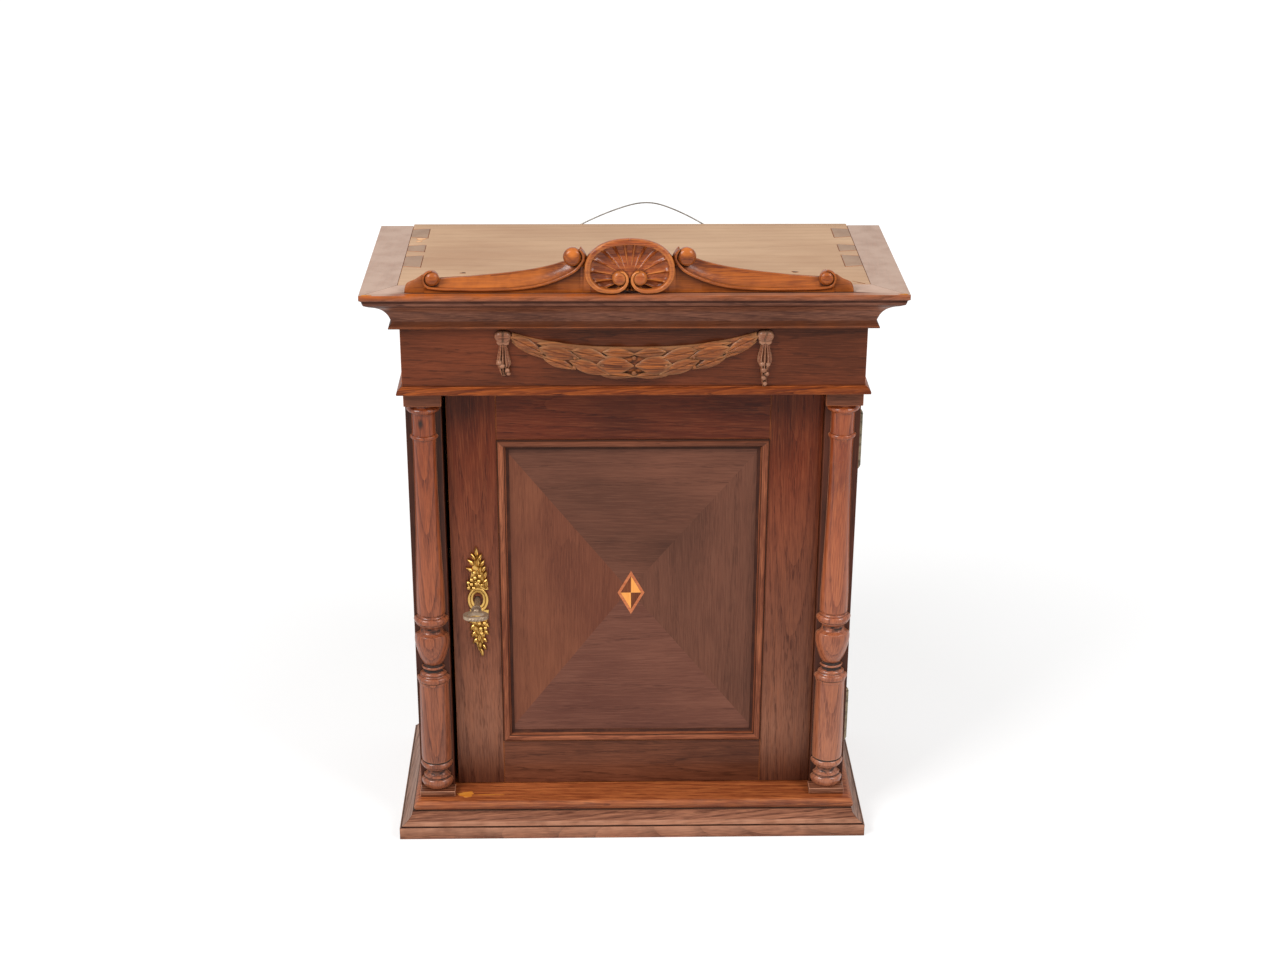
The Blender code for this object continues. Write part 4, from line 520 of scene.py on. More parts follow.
WOODS = {
    # Stained oak, planed and shellacked: open dark pores, a satin skin
    "polished_oak": dict(dark="6C3018", mid="A0552E", light="C4743E", rings=6.0, figure=0.45,
                         worn_and_lit="B8866A", grime="4A342E"),
    # Mouldings of the base, rubbed paler by shoes and brooms
    "base_oak": dict(dark="502818", mid="8A5842", light="B07656", rings=4.2, grime="22100A",
                     worn_and_lit="C08C70", wander=0.014, streak=0.55),
    # Its side lengths, paler and greyer still
    "dusty_oak": dict(dark="6A4838", mid="9C7866", light="B48E7A", rings=4.2, figure=0.4,
                      grime="33231B", worn_and_lit="C8A694", wander=0.014, streak=0.5),
    # The cornice's front: the same oak, with dust and painted highlight on its upper face and edges
    "cornice_oak": dict(dark="542C1C", mid="8A5844", light="9E6448", rings=5.0, figure=0.4,
                        grime="2C0E04", worn_and_lit="B45C20", coat=0.1, settling=0.95, dusty="C4A694",
                        streak=0.55),
    # The cornice's sides, whose upper faces are grey with dust
    "settled_oak": dict(dark="542C1C", mid="804834", light="96583C", rings=5.0, settling=0.95,
                        dusty="BCA292", grime="241008"),
    # Little moulding under the frieze, redder and streaked
    "streaked_oak": dict(dark="541E08", mid="824018", light="A85620", rings=5.0, figure=0.7,
                         worn_and_lit="B05A20"),
    # Case and frieze under a darker, drier stain
    "dark_oak": dict(dark="441E0C", mid="70341A", light="7E4228", rings=5.0, figure=0.2, streak=0.34,
                     settling=0.9, dusty="AC917C"),
    # Strips behind the columns, painted nearly black for the shade that the columns cast on them
    "shadowed_oak": dict(dark="2C140A", mid="4E2618", light="5E301E", rings=5.0, figure=0.2,
                          streak=0.3, worn_and_lit="6A3A26"),
    # Frame of the door: quieter, straight grain, paler towards the foot as painted light,
    # and darker again at the very foot
    "door_oak": dict(dark="461808", mid="763117", light="905030", rings=4.0, figure=0.26,
                     lit_low_tone="90644E", foot="52362A", streak=0.32),
    # The bottom rail and the small pieces that share its browner stain; on the top length of
    # the panel moulding the same darker finish is painted shade
    "rail_oak": dict(dark="4C2616", mid="7A4630", light="8C543A", rings=4.0, figure=0.22, streak=0.36),
    # Small mouldings, rubbed redder on their crowns
    "moulding_oak": dict(dark="64301C", mid="94583C", light="AC6642", rings=4.0, figure=0.3,
                         grime="281410"),
    # Turned oak: bold arched grain, crowns bright with wear and painted highlight, hollows grey
    # with dirt and painted shade, and paler towards the foot as painted light
    "turned_oak": dict(dark="521C0A", mid="8E421E", light="AA5A30", rings=4.6, specular=0.25, bump=0.1,
                       roughness=0.32, grime="26201E", coat=0.25, lit_low_tone="905C44", worn_and_lit="B4744E",
                       wander=0.016, streak=0.38),
    # The right column, which caught more light
    "turned_oak_bright": dict(dark="64240C", mid="A84E20", light="C0703E", rings=4.6, figure=0.4,
                              specular=0.3, bump=0.1, roughness=0.3, grime="26201E", coat=0.3,
                              lit_low_tone="A06C54", worn_and_lit="C48460", wander=0.016, streak=0.34),
    # Carved oak, reddish and well handled
    "carved_oak": dict(dark="541E06", mid="904414", light="AC5C1E", rings=6.0, figure=0.4, specular=0.2,
                       bump=0.12, pores=0.4, roughness=0.32, coat=0.22, worn_and_lit="C46C28", grime="2C1008"),
    # The shell, whose ribs are brighter than the arms with wear and painted highlight
    "shell_oak": dict(dark="5E240C", mid="9E4C1E", light="B8682E", rings=6.0, figure=0.3, specular=0.2,
                      pores=0.4, roughness=0.3, coat=0.25, worn_and_lit="C87A3A", grime="361408"),
    # Planed boards never stained, greyed by dust
    "bare_board": dict(dark="AE8A6E", mid="C7A586", light="D2B294", rings=9.0, figure=0.16, pores=0.1,
                       roughness=0.78, coat=0.0, streak=0.2),
    # Softwood for hidden boards
    "bare_pine": dict(dark="8A6A48", mid="A98660", light="C4A070", rings=5.0, pores=0.08,
                      roughness=0.75, coat=0.0),
    # Carving that lost its polish and went grey-brown
    "dry_carving": dict(dark="4A200C", mid="844424", light="BC6A2C", rings=5.0, figure=0.4,
                        specular=0.16, pores=0.5, roughness=0.45, coat=0.12, worn_and_lit="A8764E",
                        grime="1C0E08"),
    # The knots and tassels, greyer still
    "grey_carving": dict(dark="562A18", mid="865038", light="A46C4C", rings=5.0, figure=0.3,
                         specular=0.18, roughness=0.36, coat=0.2, worn_and_lit="B88A6C", grime="1C0E08"),
    # Torn wood that was never stained, in chips
    "raw_oak": dict(dark="B8681C", mid="DA9032", light="E8AC58", rings=2.0, figure=0.2, roughness=0.7,
                    coat=0.0),
    # The same at the top board, where the chips are fresh
    "fresh_oak": dict(dark="D8A070", mid="F2C69A", light="FADFBC", rings=2.0, figure=0.2,
                      roughness=0.7, coat=0.0),
    # Black stain that iron leaves in oak
    "iron_stain": dict(dark="3C2A1E", mid="5C4432", light="705640", rings=2.0, figure=0.2,
                       roughness=0.6, coat=0.0),
    # Sawn veneer, fine even grain, each quarter in its own light
    "veneer": dict(dark="562F24", mid="744838", light="805342", rings=12.0, figure=0.12, pores=0.3,
                   roughness=0.45, streak=0.35),
    "dusky_veneer": dict(dark="4A2A1E", mid="6A4030", light="744C3A", rings=12.0, figure=0.12,
                         pores=0.3, roughness=0.45, streak=0.35),
    "warm_veneer": dict(dark="5A2E20", mid="76452F", light="844E38", rings=12.0, figure=0.12,
                        pores=0.3, roughness=0.45, streak=0.35),
    # Plain and dyed maple of the inlay
    "pale_inlay": dict(dark="D88A42", mid="EFA050", light="F4AC60", rings=2.0, figure=0.2, pores=0.05,
                       roughness=0.4),
    "dark_inlay": dict(dark="5A2A16", mid="7A4024", light="84502E", rings=2.0, figure=0.2, pores=0.1,
                       roughness=0.4),
    "red_inlay": dict(dark="A85A38", mid="C27448", light="CC8054", rings=2.0, figure=0.2, pores=0.1,
                      roughness=0.4),
}
METALS = {
    # Cast brass, lacquer gone, high places burnished by hands, in the colour that the user sets
    "burnished_brass": dict(base=None, deep="7E541E", roughness=0.3, grime=0.25, seed=1.0),
    # Rolled brass left to darken
    "darkened_brass": dict(base="8A7C66", deep="4E483E", roughness=0.45, grime=0.8, seed=2.0),
    # Filed iron with a thin brown skin of rust, which is only partly metallic
    "worn_iron": dict(base="A08A74", deep="745E4A", roughness=0.42, grime=0.55, seed=3.0, metallic=0.55),
    # Drawn steel wire
    "drawn_steel": dict(base="8C8780", deep="5E564E", roughness=0.4, grime=0.5, seed=4.0),
}
FINISHES = {}


def finish(kind):
    """The finish of a kind, made when first asked for."""
    if kind not in FINISHES:
        FINISHES[kind] = wood(kind, **WOODS[kind]) if kind in WOODS else metal(kind, **METALS[kind])
    return FINISHES[kind]


# Shapes measured on the cabinet, in millimetres. A run starts where the one before it ends.

# Heights and radii of the column
COLUMN_RUNS = [
    [(42.6, 13.4), (43.4, 14.6), (45.6, 15.7), (48.4, 16.4), (50.6, 16.3), (52.6, 15.2), (53.4, 13.9)],
    [(54.2, 13.6)], [(55.4, 14.2), (56.8, 13.8)], [(58.4, 11.8), (61.0, 10.7), (63.6, 12.0), (65.2, 14.2)],
    [(65.8, 15.0)], [(67.0, 15.0)], [(67.6, 16.1), (69.2, 16.6), (70.9, 16.4), (72.2, 15.6), (72.8, 14.8)],
    [(73.6, 14.5), (74.6, 15.0)],
    [(76.0, 15.6), (95.0, 15.7), (130.0, 15.3), (153.0, 15.05), (161.8, 14.9)],
    [(162.5, 15.5), (164.7, 15.6), (165.2, 15.0)],
    [(166.0, 16.3), (167.7, 16.8), (169.4, 16.6), (170.8, 15.7), (171.5, 14.2)], [(172.6, 13.4)],
    [(173.7, 13.6), (175.2, 12.8), (176.1, 11.6)], [(177.3, 9.8), (178.9, 9.5)],
    [(179.6, 11.4), (181.1, 11.8), (182.0, 11.2), (182.3, 10.0)], [(183.2, 9.2), (184.7, 10.1)],
    [(188.0, 11.8), (192.8, 13.7), (198.6, 15.4), (204.4, 16.7), (209.8, 17.4), (213.7, 17.4),
     (216.8, 16.9)], [(218.1, 16.4), (218.8, 15.4)],
    [(220.8, 12.5), (223.9, 11.4), (226.9, 12.2), (228.8, 14.6)], [(229.5, 15.6)], [(231.2, 15.5)],
    [(232.0, 16.9), (233.9, 17.5), (235.9, 17.2), (237.4, 16.1), (238.1, 14.7)],
    [(239.6, 13.9), (241.6, 14.4)],
    [(255.0, 14.4), (269.0, 14.2), (299.0, 13.2), (330.0, 12.3), (363.0, 11.75), (395.0, 11.5),
     (418.0, 11.4), (424.0, 11.6), (427.2, 12.0)],
    [(428.0, 13.3), (429.6, 13.8), (431.2, 13.3), (432.0, 12.0)],
    [(436.0, 11.7), (446.0, 11.7), (453.4, 11.8)], [(454.6, 12.3)],
    [(455.6, 14.6), (457.0, 15.9), (458.6, 16.2), (460.0, 15.4)],
    [(461.4, 13.9), (463.0, 13.2), (464.9, 13.1)],
]
# Out from the wall, and up from the foot of the moulding
CORNICE_RUNS = [
    [(0.3, 39.6), (24.0, 39.6), (32.6, 39.6)], [(32.6, 35.0)], [(30.4, 33.4)], [(29.9, 31.2), (29.0, 29.0)],
    [(24.9, 26.6)], [(19.4, 24.0), (13.6, 19.8), (9.4, 14.2), (7.2, 9.0)],
    [(6.5, 6.4), (7.2, 4.2), (8.7, 2.4), (9.6, 0.8)], [(9.6, 0.0)], [(0.3, 0.0)],
]
BASE_RUNS = [
    [(0.3, 25.7), (7.6, 25.7)], [(8.2, 24.3)], [(9.0, 21.4), (11.4, 18.4), (14.8, 15.6), (18.4, 13.9)],
    [(18.6, 12.9)], [(20.5, 12.8)], [(20.5, 0.0)], [(0.3, 0.0)],
]
# Heights on the edge of the base board, and how far the edge lies back there
NOSING = [(0.0, 3.4), (0.4, 2.2), (1.2, 1.2), (2.4, 0.5), (4.0, 0.0), (5.2, 0.0), (6.6, 0.5), (8.0, 1.6),
          (9.1, 3.2), (9.8, 5.0), (10.0, 6.4)]
FRIEZE_MOULDING_RUNS = [
    [(0.3, 7.3), (1.2, 7.3)], [(1.7, 6.5), (3.2, 5.3), (4.7, 3.4), (5.4, 1.5), (5.0, 0.0)], [(0.3, 0.0)],
]
# Across from the frame towards the panel, and up from the panel
PANEL_MOULDING_RUNS = [
    [(0.0, 0.0), (0.0, 4.6)], [(0.9, 4.9), (1.5, 6.0), (3.2, 6.6), (5.2, 6.3), (6.8, 5.2)],
    [(7.5, 4.0), (7.8, 2.6)], [(8.3, 1.5), (9.2, 0.8), (10.4, 0.4), (11.4, 0.2)], [(11.4, 0.0)],
]
# Crest: distances out from its middle line, which lies left of the case's, and heights
CREST_CENTRE = -5.0
CREST_DEPTH = 21.0
CREST_DIP = {-1: 5.0, 1: 2.2}  # how far the left and right crowns sag
INNER_BALL = (51.4, 620.4, 8.7, 5.4)  # out, up, radius, how far it stands out
OUTER_BALL = (178.6, 599.9, 6.9, 4.8)
CREST_TOP = [(186, 599.2), (169.4, 600.0), (147.8, 601.6), (136.5, 603.0), (119.4, 605.2), (102.4, 607.9),
             (85.3, 611.2), (68.3, 615.8), (58, 619.2), (41, 620)]
CREST_FILLET = [(177.4, 592.3), (170.6, 590.6), (153.5, 590.1), (136.5, 589.9), (119.4, 590.1),
                (104.6, 590.8), (91.0, 592.3), (79.6, 594.7), (68.3, 598.3), (56.9, 603.4), (48.0, 609.0),
                (43.4, 613.4)]
SHELL_FOOT, SHELL_HEAD = 589.4, 636.4
# Left half of the garland: foot of each leaf, its tip, its width and how far it lies over the others
GARLAND_LEAVES = [
    (-112.7, 537.6, -85.0, 523.4, 8.6, 1.0), (-111.5, 532.6, -79.0, 516.6, 5.6, 0.2),
    (-86.5, 527.2, -53.5, 518.4, 11.0, 1.0), (-88.0, 531.6, -49.0, 524.6, 6.4, 0.2),
    (-83.8, 518.4, -56.3, 507.8, 7.6, 0.3), (-56.5, 525.0, -25.4, 517.4, 9.4, 0.8),
    (-58.4, 515.0, -25.4, 502.8, 9.8, 0.9), (-33.0, 511.0, -3.0, 510.2, 15.0, 1.2),
    (-27.6, 523.2, -1.6, 521.4, 8.0, 0.5), (-31.3, 501.6, -1.6, 499.6, 6.0, 0.4),
]
GARLAND_BERRIES = [(-85.6, 522.6), (-55.2, 518.0), (-29.6, 510.0), (-56.0, 508.4)]
GARLAND_MIDDLE = [(-0.3, 517.4), (-0.3, 502.6)]
# Share of a tassel's length from its knot, and its half width there
TASSEL_WIDTHS = {
    "left": [(0, 3.2), (0.2, 3.9), (0.45, 5.4), (0.62, 6.6), (0.70, 6.8), (0.76, 5.6), (0.84, 4.4),
             (0.92, 3.6), (1, 2.0)],
    "right": [(0, 3.4), (0.18, 4.6), (0.36, 6.4), (0.48, 6.7), (0.55, 5.4), (0.62, 4.2), (0.70, 3.6),
              (0.78, 3.0), (0.86, 2.6), (0.94, 2.2), (1, 1.6)],
}
# Beads from the middle of a tassel's foot: across, up, radius
TASSEL_BEADS = {
    "left": [(-3.6, 13.6, 3.0), (-1.2, 10.2, 2.8), (3.6, 5.6, 2.4), (4.6, 2.4, 2.0)],
    "right": [(-2.6, 22.6, 2.8), (2.8, 22.2, 2.6), (-1.0, 16.6, 2.8), (2.2, 12.8, 2.3), (-0.8, 8.8, 2.5),
              (0.6, 3.0, 2.1)],
}
# Escutcheon leaflets from the keyhole: foot across and up, angle in degrees, length and width
SPRAY_LEAVES = [
    (-0.2, 48.0, 92, 9.0, 3.8), (-1.6, 44.0, 118, 7.6, 3.2), (1.4, 43.0, 66, 7.4, 3.4),
    (-3.0, 38.2, 132, 8.0, 3.8), (3.0, 36.8, 58, 7.6, 3.2), (0.4, 36.6, 86, 8.6, 3.8),
    (-4.2, 31.6, 148, 6.8, 3.6), (4.4, 30.4, 62, 7.6, 3.4), (1.8, 29.0, 78, 7.6, 3.6),
    (6.4, 23.0, 74, 8.4, 3.6), (5.0, 17.6, 52, 7.0, 3.0), (7.8, 12.4, 80, 9.6, 3.6),
    (-7.4, 11.8, 112, 6.4, 3.2), (3.0, 15.2, 128, 7.2, 2.6),
    (-3.4, -18.6, 226, 8.2, 3.8), (4.4, -18.0, 300, 7.2, 3.6), (0.6, -20.4, 262, 8.4, 4.0),
    (-3.8, -26.6, 236, 7.8, 3.8), (4.8, -24.8, 318, 6.8, 3.8), (1.4, -29.0, 276, 8.2, 4.0),
    (-2.8, -34.4, 234, 7.6, 3.6), (4.6, -33.4, 314, 6.6, 3.6), (0.8, -38.4, 260, 8.0, 3.8),
    (-1.4, -42.2, 232, 7.2, 3.4), (3.6, -41.8, 308, 6.4, 3.2), (1.2, -46.4, 262, 7.8, 3.4),
    (1.4, -54.0, 282, 8.6, 3.6), (3.4, -49.4, 300, 6.4, 3.0),
]
SPRAY_BERRIES = [(-3.0, 30.4), (2.2, 26.6), (-2.4, 24.8), (-5.8, 22.6), (-9.2, 19.4), (-9.0, 13.8),
                 (-6.0, 17.6), (-1.2, 18.2), (1.4, 21.2), (-3.9, 13.4), (0.8, -26.0), (6.0, -25.6),
                 (2.0, -31.6), (6.6, -31.0), (2.8, -37.0)]


def copies_tree():
    """Sets copies of a shape on points, turned and sized by the points' own attributes."""
    tree = bpy.data.node_groups.new("set_copies_on_points", "GeometryNodeTree")
    for name, kind, way in (("Points", "NodeSocketGeometry", "INPUT"), ("Shape", "NodeSocketObject", "INPUT"),
                            ("Material", "NodeSocketMaterial", "INPUT"),
                            ("Copies", "NodeSocketGeometry", "OUTPUT")):
        tree.interface.new_socket(name, in_out=way, socket_type=kind)
    given = add(tree, "NodeGroupInput").node.outputs
    turn, size = (add(tree, "GeometryNodeInputNamedAttribute", {"Name": name}, data_type="FLOAT_VECTOR")
                  for name in ("turn", "size"))
    copies = add(tree, "GeometryNodeInstanceOnPoints", {
        "Points": given["Points"], "Scale": size,
        "Rotation": add(tree, "FunctionNodeEulerToRotation", (turn,)),
        "Instance": add(tree, "GeometryNodeObjectInfo", {"Object": given["Shape"]}, "Geometry")})
    dressed = add(tree, "GeometryNodeSetMaterial", {
        0: add(tree, "GeometryNodeRealizeInstances", (copies,)), "Material": given["Material"]})
    add(tree, "NodeGroupOutput", (dressed,))
    return tree


def copied(shape_mesh, places, material):
    """Mesh of a shape repeated at places: (position, matrix of directions, size)."""
    tree = bpy.data.node_groups.get("set_copies_on_points") or copies_tree()
    shape = bpy.data.objects.new("shape_to_copy", shape_mesh)
    points = bpy.data.meshes.new("copy_points")
    points.from_pydata([place for place, _, _ in places], [], [])
    turns = points.attributes.new("turn", "FLOAT_VECTOR", "POINT")
    turns.data.foreach_set("vector", [v for _, turn, _ in places for v in turn.to_euler()])
    sizes = points.attributes.new("size", "FLOAT_VECTOR", "POINT")
    sizes.data.foreach_set("vector", [v for _, _, size in places for v in size])
    carrier = bpy.data.objects.new("copy_points", points)
    for item in (shape, carrier):
        bpy.context.scene.collection.objects.link(item)
    modifier = carrier.modifiers.new("copies", "NODES")
    modifier.node_group = tree
    sockets = {item.name: item.identifier for item in tree.interface.items_tree if item.in_out == "INPUT"}
    modifier[sockets["Shape"]] = shape
    modifier[sockets["Material"]] = material
    evaluated = carrier.evaluated_get(bpy.context.evaluated_depsgraph_get())
    mesh = bpy.data.meshes.new_from_object(evaluated)
    for item in (shape, carrier):
        bpy.data.objects.remove(item)
    return mesh


def leaf_mesh(rib=0.22, point=0.75):
    """A leaf one long, one wide and one high, with a sunk rib, flat beneath, more pointed as point grows."""
    sections = []
    across = (-1, -0.82, -0.5, -0.2, 0, 0.2, 0.5, 0.82, 1)
    for i in range(9):
        u = i / 8
        half = 0.5 * max(math.sin(math.pi * u ** 0.82) ** point, 0.06)
        high = 0.35 + 0.65 * math.sin(math.pi * min(u * 0.9 + 0.1, 1) ** 0.9)
        top = [(u, half * v, high * ((1 - v * v) ** 0.6 * (1 - rib * (v == 0)) + 0.02)) for v in across]
        sections.append([(u, -half, -0.6)] + top + [(u, half, -0.6)])
    bm = bmesh.new()
    loft(bm, sections)
    return stored(bm, "leaf")


def berry_mesh():
    """A ball of radius one."""
    bm = bmesh.new()
    bmesh.ops.create_icosphere(bm, subdivisions=2, radius=1)
    return stored(bm, "berry")


def leaf_place(foot, angle, length, width, height, wall, lift=0.0, pitch=8.0):
    """Place of a leaf on the front: its length runs at an angle, its tip lifts off the wall."""
    c, s = math.cos(math.radians(angle)), math.sin(math.radians(angle))
    frame_of = Matrix(((c, -s, 0), (0, 0, -1), (s, c, 0))) @ Matrix.Rotation(math.radians(-pitch), 3, "Y")
    return facing(foot[0], foot[1], wall, lift), frame_of, (length * MM, width * MM, height * MM)


def ride_copy(name, node, material, body, slot=None, smooth=32):
    """A CAD node as a piece of the scene, with smooth round faces."""
    return finished(name, to_mesh(cad_copy(node), name), material, body, [node], slot, smooth)


# Operators

class CABINET_OT_carcase(bpy.types.Operator):
    """Boards of the case, the shelf and the back"""
    bl_idname = "cabinet.carcase"
    bl_label = "Make Carcase"

    def execute(self, context):
        jobs = (("dark_oak", "z", "oak_dark", "side_left side_right"),
                ("dark_oak", "x", "oak_dark", "soffit_board frieze_board"),
                ("bare_board", "top_x", "bare_wood", "top_board"),
                ("bare_pine", "x", "pine", "shelf base_rail_back door_stop"),
                ("bare_pine", "y", "pine", "shelf_cleat_left shelf_cleat_right"),
                ("bare_pine", "z", "pine", "back_board_left back_board_right"))
        for kind, grain, slot, nodes in jobs:
            for node in nodes.split():
                eased_copy(node, finish(kind), "case", slot, 0.8, grain=grain)
        self.make_base_board()
        return {"FINISHED"}

    def make_base_board(self):
        """The base board, its front and side edges rounded to a nosing."""
        low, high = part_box("base_board")
        corner, short_left = 1.5 * MM, 3.4
        sections = []
        for up, inset in NOSING:
            left, right, front = low.x + (inset + short_left) * MM, high.x - inset * MM, low.y + inset * MM
            ring = [(right, high.y), (left, high.y)]
            for centre, start in ((left + corner, 180), (right - corner, 270)):
                for turn in (math.radians(start + 22.5 * i) for i in range(5)):
                    ring.append((centre + corner * math.cos(turn), front + corner + corner * math.sin(turn)))
            edge = [(left + (right - left) * i / 60, front) for i in range(1, 60)]
            sections.append([(x, y, low.z + up * MM) for x, y in ring[:7] + edge + ring[7:]])

        def rubbed(point):
            """The upper edge is rubbed a little."""
            return 0.2 if 7.4 < (point.z - low.z) / MM < 9.4 else 0.0

        def sunk(point):
            """Painted shade under the nosing; its front is darker and duller."""
            return 1.0 if point.z < low.z + 1.4 * MM else 0.4 if point.z < low.z + 7.4 * MM else 0.0

        mesh = lofted("base_board_nosed", sections, 0.5, rubbed=rubbed, sunk=sunk)
        finished("base_board_nosed", mesh, finish("polished_oak"), "case", ["base_board"], "oak",
                 grain="top_x")


class CABINET_OT_mouldings(bpy.types.Operator):
    """Cornice, frieze moulding and base moulding, each mitred at the front corners"""
    bl_idname = "cabinet.mouldings"
    bl_label = "Make Mouldings"

    def execute(self, context):
        strip_end = 207 * MM  # where the front's flat top turns into the mitres
        jobs = (("cornice", CORNICE_RUNS, "cornice_oak", "settled_oak"),
                ("base_moulding", BASE_RUNS, "base_oak", "dusty_oak"),
                ("frieze_moulding", FRIEZE_MOULDING_RUNS, "streaked_oak", "streaked_oak"))
        for stem, runs, kind, side_kind in jobs:
            low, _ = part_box(f"{stem}_front")

            def rubbed(point):
                """Edges rubbed by hands and dusters, with a light line near the cornice's foot. The cornice's
                top strip and upper edge also carry painted highlight, brightest at its left end.
                """
                up, edge = (point.z - low.z) / MM, (point.y - low.y) / MM
                if stem == "cornice":
                    if up > 39.3 and edge > 0.6:
                        bare = min(max(0.6 - 1.8 * point.x, 0.5), 0.95) if abs(point.x) < strip_end else 0.15
                        return bare if edge < 7.4 else 0.0
                    crown = 1.0 if up > 38.5 else 0.2 if up > 34.8 else 0.0
                    foot = 0.5 if 1.0 < up < 1.6 else 0.15 if 1.6 < up < 6.8 else 0.0
                    return max(crown * min(max(0.5 - 1.8 * point.x, 0.38), 1.0), foot)
                return 0.6 if stem == "base_moulding" and (14.0 < up < 16.4 or 11.6 < up < 12.75) else 0.0

            def sunk(point):
                """Dark quirks, and painted shade under edges: below the cornice's fascia, along its foot and
                where the crest's foot stands on its top, with its lower strip darker; on the base moulding
                under the nosing of the board and under its fillet.
                """
                up, edge = (point.z - low.z) / MM, (point.y - low.y) / MM
                if stem == "cornice":
                    if up > 39.3:
                        return 1.0 if 7.4 < edge < 10 and abs(point.x) < strip_end else 0.0
                    line = 31.2 < up < 34.7 or 25.6 < up < 27.4 or up < 1.0
                    return 0.85 if line else 0.25 if 27.4 < up < 31 else 0.7 if 1.6 < up < 6.8 else 0.0
                return 1.0 if stem == "base_moulding" and (up > 25.2 or 12.85 < up < 13.8) else 0.0

            mitred_set(stem, runs, finish(kind), finish(side_kind), rubbed, sunk)
        return {"FINISHED"}


class CABINET_OT_columns(bpy.types.Operator):
    """Pilasters, turned half columns, and their square blocks"""
    bl_idname = "cabinet.columns"
    bl_label = "Make Columns"

    def execute(self, context):
        profile = outline_of(COLUMN_RUNS, 6, ease=0.15)
        behind, steps = 2.8 * MM, 40  # the axis lies so far behind the flat back
        knot_x, knot_z = -202.1 * MM, 444.8 * MM
        for side, body in (("left", "case"), ("right", "door")):
            oak = finish("turned_oak" if side == "left" else "turned_oak_bright")
            eased_copy(f"pilaster_{side}", finish("shadowed_oak"), body, "oak_dark", grain="z")
            eased_copy(f"capital_{side}", finish("rail_oak"), body, "oak_column", grain="x")
            eased_copy(f"plinth_{side}", finish("base_oak"), body, "oak_column", grain="x")
            low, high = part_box(f"column_{side}")

            def sunk(point):
                """Dirt and painted shade along the pilaster, and a dark knot in the neck of the left column.
                """
                away = Vector(((point.x - knot_x) / (2.4 * MM), (point.z - knot_z) / (4.4 * MM)))
                packed = 0.75 * min(max((point.y - high.y + 2.6 * MM) / (2.6 * MM), 0.0), 1.0)
                return max(packed, min(max(1.5 - away.length, 0.0), 1.0))

            x, y = (low.x + high.x) / 2, high.y + behind
            sections = []
            for z, radius in profile:
                reach = math.acos(min(behind / radius, 1))
                turns = [reach * (2 * i / steps - 1) for i in range(steps + 1)]
                sections.append([(x + radius * math.sin(turn), y - radius * math.cos(turn), z)
                                 for turn in turns])
            name = f"column_{side}_turned"
            # Ring crowns are marked bright as wear and painted highlight, scotias dark as dirt and painted
            # shade
            mesh = lofted(name, sections, 0.9, 3.4, rounds=1, calm=0.06, gain=2.4, sunk=sunk, crevice=8)
            finished(name, mesh, oak, body, [f"column_{side}"], "oak_column", 28, grain="z", tilt=3.6)
        return {"FINISHED"}


